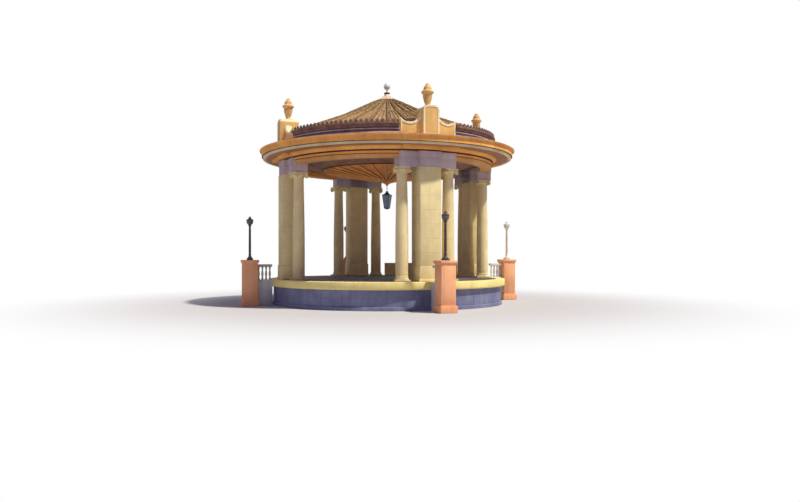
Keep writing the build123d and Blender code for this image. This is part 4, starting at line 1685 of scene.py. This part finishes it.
@dataclass
class Parapets(Assembly):
    """The scrolled parapets over the groups, and the urns on their pedestals."""

    base: float = 7.34
    inner: float = 4.82
    outer: float = 5.15
    half: float = 1.282
    end_width: float = 0.108
    end_height: float = 0.74
    band_width: float = 0.058
    top: float = 1.29
    shoulder: float = 0.23
    pedestal_half: float = 0.38
    pedestal_back: float = 4.50
    pedestal_front: float = 5.34
    arris: float = 0.014
    lobes: int = 18

    @property
    def scroll(self) -> list[Point]:
        """The hollow line from the end block up to the pedestal, on the +X side, from outside in."""
        start, end = (self.half - self.end_width, 0.68), (self.pedestal_half - 0.01, 1.13)
        return arc_through(start, (0.87, 0.575), end)

    @property
    def middle(self) -> float:
        """The radius of the wall's middle."""
        return (self.inner + self.outer) / 2

    @property
    def pedestal_middle(self) -> float:
        """The radius of the pedestal's middle."""
        return (self.pedestal_front + self.pedestal_back) / 2

    def build(self) -> list[Piece]:
        """Make one parapet and one urn and place four of each.

        Returns:
            The pieces.
        """
        turns = [angle - 90 for angle in Corner.turns()]
        walls = Bench.round_copies("parapets", self._wall(), turns)
        borders = Bench.round_copies("parapet_borders", self._border(), turns)
        urns = Bench.round_copies("lobed_urns", self._urn(), turns)
        self.finishes.complete({walls: "parapet_stone", borders: "coping_stone", urns: "urn_stone"})
        self.finishes.band(walls, "coping_stone", lambda c, n: abs(n.z) > 0.3 and c.z > self.base + 0.4)
        return [
            Piece(walls, "parapet_stone", Corner.nodes("parapet")),
            Piece(borders, "parapet_stone"),
            Piece(urns, "parapet_stone", ["urns"]),
        ]

    def _wall(self) -> Mesh:
        """One curved parapet with its pedestal, the outer side towards +Y.

        Returns:
            The parapet.
        """
        right = [(self.half, 0), (self.half, self.end_height)]
        right += [(self.half - self.end_width, self.end_height), *self.scroll]
        wall = Bench.plate("wall", right + mirrored(right), self.outer - self.inner)
        Bench.bevel(wall, self.arris, angle=50)
        Bench.bend_round(wall, self.middle, 24)
        Bench.place(wall, (0, self.middle, self.base))
        post = Bench.plate("pedestal", self._pedestal(0.0), self.pedestal_front - self.pedestal_back)
        Bench.bevel(post, self.arris, angle=50)
        Bench.place(post, (0, self.pedestal_middle, self.base))
        return Bench.join("parapet", [wall, post])

    def _pedestal(self, inset: float) -> list[Point]:
        """The pedestal's outline, with round shoulders.

        Args:
            inset: How far inside the real outline it runs.

        Returns:
            The outline.
        """
        half, round_off, top = self.pedestal_half - inset, self.shoulder - inset, self.top - inset
        arc = []
        for turn in (math.radians(angle) for angle in range(0, 91, 10)):
            x = half - round_off + round_off * math.cos(turn)
            arc.append((x, top - round_off + round_off * math.sin(turn)))
        return [(half, inset), *arc, *mirrored(arc), (-half, inset)]

    def _border(self) -> Mesh:
        """The pale raised band that sweeps down each wing, its upright end, and the pedestal's frame.

        Returns:
            The border.
        """
        sweep = beside(self.scroll, 0.014) + beside(self.scroll, 0.1)[::-1]
        out, low, high = self.half - 0.012, 0.02, self.end_height - 0.02
        near = out - self.band_width
        end = [(near, low), (out, low), (out, high), (near, high)]
        strips = []
        for side in (-1, 1):
            for outline in (sweep, end):
                strip = Bench.plate("strip", [(side * x, z) for x, z in outline], 0.045)
                Bench.bevel(strip, 0.008, angle=50)
                Bench.bend_round(strip, self.outer, 16)
                strips.append(Bench.place(strip, (0, self.outer, self.base)))
        strips.append(Bench.place(self._frame(), (0, self.pedestal_front - 0.003, self.base)))
        return Bench.join("border", strips)

    def _frame(self) -> Mesh:
        """The raised frame that follows the pedestal's outline.

        Returns:
            The frame.
        """
        outlines = []
        for inset in (0.016, 0.09):
            outlines.append(Bench.profile("frame", self._pedestal(inset), True))
            Bench.leave()
        frame = Bench.join("frame", outlines)
        Bench.pick(frame)
        Bench.enter()
        bpy.ops.mesh.bridge_edge_loops()
        bpy.ops.mesh.select_all(action="SELECT")
        Bench.extrude((0, 0.018, 0))
        Bench.close_edit()
        return frame

    def _urn(self) -> Mesh:
        """One urn with a round foot, a swelling body, a thick flange and an ogee lid.

        Returns:
            The urn.
        """
        points = [(0, 0), (0.145, 0)] + half_round(0.133, 0.003, 0.045, 0.012, 6)
        points += wave((0.132, 0.05), (0.1, 0.1), 0.014, 5)
        body = [(0.1, 0.105)] + wave((0.1, 0.105), (0.2, 0.5), -0.014, 12)
        points += body
        points += wave((0.195, 0.52), (0.225, 0.56), 0.006, 4)
        points += half_round(0.235, 0.56, 0.66, 0.035)
        points += wave((0.215, 0.668), (0.175, 0.72), -0.008, 4)
        points += wave((0.175, 0.72), (0.1, 0.9), -0.022, 8)
        points += wave((0.1, 0.9), (0.028, 1.0), -0.016, 7) + [(0, 1.01)]
        urn = Bench.turned("urn", points, 36)
        lobe = Bench.ribbon("lobe", [(x + 0.002, z) for x, z in body[1:-1]], 0.016, 0.014, 0)
        Bench.array_round(lobe, self.lobes)
        return Bench.place(Bench.join("urn", [urn, lobe]), (0, self.pedestal_middle, self.base + self.top))


@dataclass
class Ceiling(Assembly):
    """The boarded cone that hangs point down, its ribs and its boss."""

    point: float = 5.98
    rim: Point = (3.15, 6.42)
    margin: Point = (4.25, 6.70)
    margin_edge: float = 4.69
    back: float = 6.755
    grooves: int = 18
    boss_radius: float = 0.42
    ribs: int = 32

    def build(self) -> list[Piece]:
        """Make the boards, the ribs and the boss.

        Returns:
            The pieces.
        """
        return [
            Piece(self._boards(), "ceiling_board", ["ceiling"]),
            Piece(self._ribs(), "ceiling_rib", ["ceiling_ribs"]),
            Piece(self._boss(), "ceiling_rib", ["ceiling_boss"]),
        ]

    def _boards(self) -> Mesh:
        """The cone of boards with a groove between one board and the next, and the plaster margin.

        Returns:
            The boards.
        """
        finishes = self.finishes
        start, (out, up) = (self.boss_radius - 0.04, self.point), self.rim
        points = [start]
        for share in (index / self.grooves for index in range(1, self.grooves + 1)):
            x, z = start[0] + (out - start[0]) * share, start[1] + (up - start[1]) * share
            points += [(x - 0.006, z), (x, z + 0.008), (x + 0.006, z)]
        points += [(out + 0.02, up - 0.035), (out + 0.06, up - 0.03)]
        points += wave((out + 0.06, up - 0.03), (out + 0.11, up + 0.025), -0.01, 4)
        points += [self.margin, (self.margin_edge, self.margin[1]), (self.margin_edge, self.back)]
        points += [(self.margin[0], self.back), (start[0], self.point + 0.055)]
        boards = Bench.turned("ceiling_boards", points, 128, closed=True)
        finishes.dress(boards, "ceiling_board")
        finishes.band(boards, "ceiling_margin", lambda c, n: reach(c) > out + 0.1)
        # Painted shade: a dark band on the rim's moulding
        finishes.band(boards, "painted_rib_shade", lambda c, n: out - 0.002 < reach(c) < out + 0.1 and n.z < 0.3)
        Bench.smooth(boards, 20)
        return boards

    def _ribs(self) -> Mesh:
        """The ring of ribs, each a square bar on a wider dark strip of painted shade.

        Returns:
            The ribs.
        """
        (near, low), (far, high) = (self.boss_radius, self.point), self.rim
        bars = []
        # The wider, lower strip is painted shade beside each rib
        for half, deep, finish in ((0.042, 0.022, "painted_rib_shade"), (0.03, 0.07, "ceiling_rib")):
            side = [(near, low + 0.004), (far, high + 0.004), (far, high - deep), (near, low - deep)]
            bar = Bench.plate("bar", side, 2 * half)
            Bench.bevel(bar, 0.004, 1)
            self.finishes.dress(bar, finish)
            bars.append(bar)
        ribs = Bench.join("radial_ribs", bars)
        Bench.array_round(ribs, self.ribs)
        Bench.smooth(ribs)
        return ribs

    def _boss(self) -> Mesh:
        """The turned boss that the ribs end on.

        Returns:
            The boss.
        """
        low, out = self.point - 0.23, self.boss_radius
        outline = [(0, 0), (0.05, 0)] + half_round(0.055, 0.002, 0.04, 0.018, 6)
        outline += wave((0.06, 0.045), (0.15, 0.085), -0.015, 5)
        outline += half_round(0.17, 0.085, 0.11, 0.016, 5)
        outline += wave((0.18, 0.115), (0.36, 0.155), -0.02, 7)
        outline += [(0.385, 0.155), (out - 0.012, 0.165)]
        outline += half_round(out - 0.014, 0.168, 0.2, 0.013, 5)
        outline += [(out - 0.01, 0.205), (out - 0.01, 0.225), (0, 0.225)]
        boss = Bench.place(Bench.turned("turned_boss", outline, 64), (0, 0, low))
        self.finishes.complete({boss: "ceiling_rib"})
        # Painted shade: a dark line on the step under the boss's rim
        self.finishes.band(boss, "painted_rib_shade", lambda c, n: 0.156 < c.z - low < 0.168)
        return boss


@dataclass
class Lantern(Assembly):
    """The lantern that hangs from the boss: rod, hipped top, slanting corner bars, glass and burner."""

    top: float = 5.45
    height: float = 0.88
    rod_top: float = 5.75
    rod_radius: float = 0.012
    half: float = 0.185
    foot_half: float = 0.115
    roof: float = 0.18
    base: float = 0.06
    bar: float = 0.022
    pane_inset: float = 0.016
    pane_thick: float = 0.004

    @property
    def eaves(self) -> float:
        """The height of the hipped top's edge."""
        return self.top - self.roof

    @property
    def sill(self) -> float:
        """The height at which the glass starts."""
        return self.top - self.height + self.base

    def build(self) -> list[Piece]:
        """Make the frame, the glass and the burner.

        Returns:
            The pieces.
        """
        frame, panes, burner = self._frame(), self._panes(), self._burner()
        self.finishes.complete({frame: "lantern_metal", burner: "lamp_glass"})
        self.finishes.dress(panes, "lantern_glass")
        return [
            Piece(frame, "lantern_metal", ["lantern_frame"]),
            Piece(panes, "lantern_glass", ["lantern_glass"]),
            Piece(burner, "lantern_glass"),
        ]

    @staticmethod
    def _square(name: str, points: list[Point], scale: float = 1.0, closed: bool = False) -> Mesh:
        """Turn an outline into a four-sided piece with its sides square to X and Y.

        Args:
            name: The piece's name.
            points: The outline as (corner's distance from the axis, height).
            scale: What the distances are multiplied by.
            closed: Whether the outline is a loop.

        Returns:
            The piece.
        """
        outline = [(out * scale, up) for out, up in points]
        return Bench.place(Bench.turned(name, outline, 4, closed=closed), turn=45)

    def _frame(self) -> Mesh:
        """The hipped top, the foot, the corner bars, and the rod with its collars.

        Returns:
            The frame.
        """
        low, sill, eaves, top = self.top - self.height, self.sill, self.eaves, self.top
        corner, foot = self.half * math.sqrt(2), self.foot_half * math.sqrt(2)
        hip = [(0, eaves - 0.012), (corner, eaves - 0.012), (corner + 0.006, eaves)]
        hip += [(corner - 0.004, eaves + 0.012)]
        hip += wave((corner - 0.01, eaves + 0.014), (0.07, top - 0.05), 0.02, 8)
        hip += [(0.07, top - 0.03), (0.055, top - 0.02), (0.055, top), (0, top)]
        tray = [(0, low), (0.05, low), (0.075, low + 0.02), (foot, sill - 0.014), (foot, sill), (0, sill)]
        parts = [self._square("hip", hip), self._square("foot", tray), self._bars()]
        rod, rod_low = self.rod_radius, top - 0.01
        shaft = [(0, rod_low), (rod, rod_low), (rod, self.rod_top), (0, self.rod_top)]
        parts.append(Bench.turned("rod", shaft, 16))
        for height, out in ((top + 0.02, 0.028), (top + 0.15, 0.022), (self.rod_top - 0.03, 0.03)):
            under, over = height - out * 0.7, height + out * 0.7
            collar = [(0, under), *half_round(rod, under, over, out), (0, over)]
            parts.append(Bench.turned("collar", collar, 20))
        return Bench.join("lantern_cage", parts)

    def _bars(self) -> Mesh:
        """The four corner bars, each leaning out from the foot to the hipped top.

        Returns:
            The bars.
        """
        half, start = self.bar / 2, self.foot_half - 0.014
        outline = [(-half, 0), (half, 0), (half, self.bar), (-half, self.bar)]
        bar = Bench.place(Bench.plate("corner", outline, self.bar), (start, start, self.sill - 0.006))
        highest = max(vertex.co.z for vertex in bar.data.vertices)
        Bench.choose(bar, {v.index for v in bar.data.vertices if v.co.z > highest - 1e-4})
        slide = self.half - self.foot_half
        bpy.ops.transform.translate(value=(slide, slide, self.eaves - 0.01 - highest))
        Bench.leave()
        Bench.array_round(bar, 4)
        return bar

    def _panes(self) -> Mesh:
        """The four slanting panes, in one.

        Returns:
            The panes.
        """
        narrow, wide = self.foot_half - self.pane_inset, self.half - self.pane_inset
        low, high, thick = self.sill, self.eaves - 0.012, self.pane_thick
        outline = [(narrow, low), (wide, high), (wide - thick, high), (narrow - thick, low)]
        return self._square("lantern_panes", outline, math.sqrt(2), closed=True)

    def _burner(self) -> Mesh:
        """The candle with its flame-shaped globe.

        Returns:
            The burner.
        """
        sill = self.sill
        points = [(0, sill), (0.035, sill)] + half_round(0.012, sill + 0.01, sill + 0.16, 0.012, 6)
        points += wave((0.014, sill + 0.17), (0, sill + 0.34), -0.03, 8)
        return Bench.turned("lantern_burner", points, 20)


@dataclass
class BackWall(Assembly):
    """The low curved wall with its coping, across the back opening."""

    floor: float = FLOOR
    high: float = 0.7
    circle: float = GROUP_CIRCLE
    half_thick: float = 0.12
    half_angle: float = 26.15
    coping_high: float = 0.09
    wall_stones: int = 5
    coping_stones: int = 6

    def build(self) -> list[Piece]:
        """Make the wall and its coping.

        Returns:
            The pieces.
        """
        first, sweep = Side.BACK.value - self.half_angle, 2 * self.half_angle
        wall = Bench.stones("back_courses", self._body(), self.wall_stones, first, sweep, 6)
        coping = Bench.stones("back_coping", self._head(), self.coping_stones, first, sweep, 5)
        self.finishes.complete({wall: "pier_stone", coping: "coping_stone"})
        return [Piece(wall, "platform_stone", ["back_wall"]), Piece(coping, "platform_stone")]

    def _body(self) -> list[Point]:
        """The wall's outline, with a foot on both sides.

        Returns:
            Its points.
        """
        inner, outer, low = self.circle - self.half_thick, self.circle + self.half_thick, self.floor
        top, step = low + self.high - self.coping_high + 0.002, 0.02
        outline = [(inner - step, low), (outer + step, low), (outer + step, low + 0.1)]
        outline += [(outer, low + 0.115), (outer, top), (inner, top)]
        return outline + [(inner, low + 0.115), (inner - step, low + 0.1)]

    def _head(self) -> list[Point]:
        """The coping's outline, with a low ridge along its top.

        Returns:
            Its points.
        """
        top, low = self.floor + self.high, self.floor + self.high - self.coping_high
        outer = [(0.015, low), (0.03, top - 0.075), (0.03, top - 0.02), (0.015, top - 0.006)]
        right = [(self.half_thick + out, up) for out, up in outer]
        outline = [*right, (0, top), *mirrored(right)]
        return [(self.circle + out, up) for out, up in outline]


@dataclass
class LampWings(Assembly):
    """The four wings that run out from the groups, with their end pedestals, rails and lamps."""

    floor: float = FLOOR
    circle: float = 6.7
    inner: float = 5.7
    half: float = 0.32
    high: float = 2.1
    foot_high: float = 0.3
    cap: float = 0.11
    foot_out: float = 0.06
    neck_out: float = 0.02
    cap_out: float = 0.05
    panel_half: float = 0.23
    panel: Point = (0.42, 1.86)
    rail: Point = (1.78, 1.90)
    rail_half: float = 0.13
    wall_half: float = 0.17
    balusters: int = 4
    lamp_foot: float = 0.13
    flutes: int = 10
    glass_low: float = 1.6
    head_low: float = 1.8

    def build(self) -> list[Piece]:
        """Make one wing and one lamp and place four of each.

        Returns:
            The pieces.
        """
        turns = Corner.turns()
        pedestals = Bench.round_copies("lamp_pedestals", self._pedestal(), turns)
        rails = Bench.round_copies("wing_rails", self._rail(), turns)
        self.finishes.complete({pedestals: "pedestal_stone", rails: "wing_stone"})
        lamps = []
        # Painted light and shade: the back-right lamp (x > 0, y > 0) keeps the pale paint and milky glass,
        # and the other three are painted dark as painted shade, though all four lamps are alike
        for name, one, finish, pale in (
            ("lamp_posts", self._lamp_post(), "dark_iron_and_painted_shade", "lamp_metal"),
            ("lamp_heads", self._lamp_head(), "dark_iron_and_painted_shade", "lamp_metal"),
            ("lamp_glasses", self._lamp_glass(), "shaded_lamp_glass", "lamp_glass"),
        ):
            lamp = Bench.round_copies(name, one, turns)
            self.finishes.complete({lamp: finish})
            self.finishes.band(lamp, pale, lambda c, n: c.x > 0 and c.y > 0)
            lamps.append(lamp)
        return [
            Piece(pedestals, "platform_stone", Corner.nodes("lamp_wing")),
            Piece(rails, "platform_stone"),
            Piece(lamps[0], "lamp_metal", ["lamp_standards"]),
            Piece(lamps[1], "lamp_metal"),
            Piece(lamps[2], "lamp_metal"),
        ]

    def _pedestal(self) -> Mesh:
        """One pedestal with its foot, cap and panels, on +X.

        Returns:
            The pedestal.
        """
        out, half, under = self.circle, self.half, self.high - self.cap
        parts = [
            Bench.tier("foot", out, half + self.foot_out, 0, self.foot_high, 0.02, 3),
            Bench.tier("shaft", out, half, self.foot_high - 0.02, under + 0.01, 0.01),
            Bench.tier("neck", out, half + self.neck_out, under - 0.05, under + 0.01, 0.015, 3),
            Bench.tier("cap", out, half + self.cap_out, under, self.high, 0.018, 3),
        ]
        wide, (low, high) = self.panel_half, self.panel
        panel = Bench.plate("panel", [(-wide, low), (wide, low), (wide, high), (-wide, high)], 0.012)
        Bench.bevel(panel, 0.005)
        Bench.place(panel, (0, half + 0.004, 0))
        panels = Bench.round_copies("panels", panel, [-90, 0, 180])
        return Bench.join("pedestal", [*parts, Bench.place(panels, (out, 0, 0))])

    def _rail(self) -> Mesh:
        """One rail with its turned balusters and the wall that they stand on, on +X.

        Returns:
            The rail.
        """
        near, far = self.inner - 0.01, self.circle - self.half + 0.01
        low, (under, over) = self.floor, self.rail
        wide, thick = self.rail_half, self.wall_half
        rail = Bench.block("rail", (near, -wide, under), (far, wide, over), 0.02, 3)
        wall = Bench.block("wall", (near, -thick, 0), (far, thick, low), 0.01)
        points = [(0, 0), (0.052, 0), (0.052, 0.05)]
        points += half_round(0.04, 0.055, 0.085, 0.012, 5)
        points += wave((0.034, 0.09), (0.056, 0.22), 0.004, 4)
        points += wave((0.056, 0.22), (0.026, 0.44), -0.008)
        points += half_round(0.03, 0.45, 0.475, 0.014, 5)
        points += [(0.05, under - low - 0.05), (0.05, under - low), (0, under - low)]
        first = Bench.turned("baluster", points, 16)
        balusters = [Bench.copy(first) for _ in range(self.balusters - 1)] + [first]
        pitch = (self.circle - self.half - self.inner) / self.balusters
        for index, baluster in enumerate(balusters):
            Bench.place(baluster, (self.inner + pitch * (index + 0.5), 0, low))
        return Bench.join("rail", [rail, wall, *balusters])

    def _lamp_post(self) -> Mesh:
        """One lamp's square foot, flared base and fluted post, on +X.

        Returns:
            The post.
        """
        foot = Bench.tier("foot", self.circle, self.lamp_foot, self.high, self.high + 0.078, 0.012)
        points = [(0, 0.078), (0.118, 0.078)]
        points += half_round(0.105, 0.08, 0.11, 0.012, 5)
        points += wave((0.1, 0.115), (0.062, 0.25), 0.02, 8)
        points += half_round(0.056, 0.255, 0.285, 0.016, 6)
        points += [(0.05, 0.29), (0.046, 1.0), (0.042, 1.5)]
        points += half_round(0.044, 1.505, 1.535, 0.016, 6)
        points += wave((0.044, 1.54), (0.075, 1.6), -0.01, 5)
        points += [(0.075, 1.615), (0, 1.615)]
        post = Bench.turned("post", points, 24)
        fin = [(0.044, 0.32), (0.056, 0.34), (0.049, 1.47), (0.04, 1.49)]
        flute = Bench.plate("flute", fin, 0.01)
        Bench.array_round(flute, self.flutes)
        shaft = Bench.place(Bench.join("shaft", [post, flute]), (self.circle, 0, self.high))
        return Bench.join("post", [foot, shaft])

    def _lamp_head(self) -> Mesh:
        """One lamp's bell-shaped top with its rim and ball, on +X.

        Returns:
            The head.
        """
        points = [(0, 0), (0.155, 0), (0.165, 0.01), (0.165, 0.035), (0.155, 0.045)]
        points += wave((0.15, 0.048), (0.06, 0.125), 0.02, 7)
        points += half_round(0.05, 0.128, 0.15, 0.01, 4) + [(0.03, 0.155)]
        points += half_round(0.008, 0.158, 0.198, 0.02) + [(0, 0.2)]
        return Bench.place(Bench.turned("head", points, 32), (self.circle, 0, self.high + self.head_low))

    def _lamp_glass(self) -> Mesh:
        """One lamp's bowl of milky glass, on +X.

        Returns:
            The glass.
        """
        points = [(0, 0), (0.06, 0)] + wave((0.07, 0.01), (0.15, 0.2), -0.035, 10)
        glass = Bench.turned("glass", [*points, (0, 0.2)], 32)
        return Bench.place(glass, (self.circle, 0, self.high + self.glass_low))


@dataclass(frozen=True)
class Sun:
    """One far lamp: where it stands, how strong and how wide it is, and its colour."""

    name: str
    azimuth: float
    elevation: float
    strength: float
    spread: float
    tint: Colour

    def add(self) -> None:
        """Add the lamp, its azimuth counted from -Y towards +X and its spread in degrees."""
        Bench.clear()
        turn, rise = math.radians(self.azimuth), math.radians(self.elevation)
        bpy.ops.object.light_add(type="SUN", location=(0, 0, 30))
        lamp = bpy.context.object
        lamp.name = self.name
        back = Vector((math.sin(turn) * math.cos(rise), -math.cos(turn) * math.cos(rise), math.sin(rise)))
        lamp.rotation_euler = back.to_track_quat("Z", "Y").to_euler()
        lamp.data.energy = self.strength
        lamp.data.angle = math.radians(self.spread)
        lamp.data.color = self.tint
        log.info("light %s: %.2f", lamp.name, lamp.data.energy)


@dataclass
class Stage:
    """The pale floor, the soft lights, the camera and the white surroundings."""

    distance: float = 34.5
    azimuth: float = 24.5
    eye: float = 2.28
    lens: float = 31.62
    shift: Point = (0.01625, 0.00625)
    key: Sun = Sun("key", 88, 58, 4.1, 3.0, (1.0, 0.94, 0.78))
    fill: Sun = Sun("fill", -20, 20, 0.15, 70.0, (0.82, 0.78, 1.0))
    floor_colour: Colour = (0.55, 0.55, 0.6)
    fade: tuple[float, float] = (7.0, 19.0)
    sky_colour: Colour = (0.74, 0.68, 1.0)
    sky_strength: float = 0.22

    def build(self) -> None:
        """Set up the stage."""
        self._camera()
        self.key.add()
        self.fill.add()
        self._floor()
        self._world()
        bpy.context.scene.view_settings.view_transform = "Standard"

    def _camera(self) -> None:
        """A level camera, off to one side of the front opening."""
        turn = math.radians(self.azimuth)
        place = (math.sin(turn) * self.distance, -math.cos(turn) * self.distance, self.eye)
        Bench.clear()
        bpy.ops.object.camera_add(location=place, rotation=(math.pi / 2, 0, turn))
        camera = bpy.context.object
        camera.data.lens = self.lens
        camera.data.shift_x, camera.data.shift_y = self.shift
        camera.data.clip_end = 500
        bpy.context.scene.camera = camera

    def _floor(self) -> None:
        """A pale floor that takes a shadow near the bandstand and fades to white farther out."""
        Bench.clear()
        bpy.ops.mesh.primitive_plane_add(size=600, location=(0, 0, -0.002))
        floor = bpy.context.object
        floor.name = "studio_floor"
        material = bpy.data.materials.new("studio_floor")
        material.use_nodes = True
        graph = Graph(material.node_tree)
        shader, end = graph.nodes["Principled BSDF"], graph.nodes["Material Output"]
        shader.inputs["Base Color"].default_value = shade(self.floor_colour)
        shader.inputs["Roughness"].default_value = 0.9
        shader.inputs["Specular IOR Level"].default_value = 0.1
        near, far = self.fade
        length = graph.add("VectorMath", operation="LENGTH")
        fade = graph.add("MapRange", {"From Min": near, "From Max": far}, interpolation_type="SMOOTHSTEP")
        seen = graph.add("Math", operation="MULTIPLY")
        mix = graph.add("MixShader")
        graph.link((graph.add("TexCoord"), "Object"), (length, 0))
        graph.link((length, "Value"), (fade, "Value"))
        graph.link((fade, "Result"), (seen, 0))
        graph.link((graph.add("LightPath"), "Is Camera Ray"), (seen, 1))
        graph.link((seen, 0), (mix, 0))
        graph.link((shader, 0), (mix, 1))
        graph.link((graph.add("Emission"), 0), (mix, 2))
        graph.link((mix, 0), (end, "Surface"))
        floor.data.materials.append(material)

    def _world(self) -> None:
        """White to the camera, to gloss and through glass; a soft pale light to everything else."""
        world = bpy.data.worlds.new("studio")
        bpy.context.scene.world = world
        world.use_nodes = True
        graph = Graph(world.node_tree)
        soft = graph.nodes["Background"]
        soft.inputs["Color"].default_value = shade(self.sky_colour)
        soft.inputs["Strength"].default_value = self.sky_strength
        white = graph.add("Background", {"Color": (1, 1, 1, 1)})
        path = graph.add("LightPath")
        gloss = graph.add("Math", operation="MAXIMUM")
        seen = graph.add("Math", operation="MAXIMUM")
        mix = graph.add("MixShader")
        graph.link((path, "Is Glossy Ray"), (gloss, 0))
        graph.link((path, "Is Transmission Ray"), (gloss, 1))
        graph.link((gloss, 0), (seen, 0))
        graph.link((path, "Is Camera Ray"), (seen, 1))
        graph.link((seen, 0), (mix, 0))
        graph.link((soft, 0), (mix, 1))
        graph.link((white, 0), (mix, 2))
        graph.link((mix, 0), (graph.nodes["World Output"], "Surface"))


def main() -> None:
    """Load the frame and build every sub-assembly over it."""
    logging.basicConfig(level=logging.INFO, format="%(message)s")
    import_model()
    finishes = Finishes()
    pieces: list[Piece] = []
    assemblies = (Platform, Colonnade, Entablature, Roof, Parapets, Ceiling, Lantern, BackWall, LampWings)
    for assembly in assemblies:
        pieces += assembly(finishes).build()
    for piece in pieces:
        piece.hand_over()
    Stage().build()


if __name__ == "__main__":
    main()
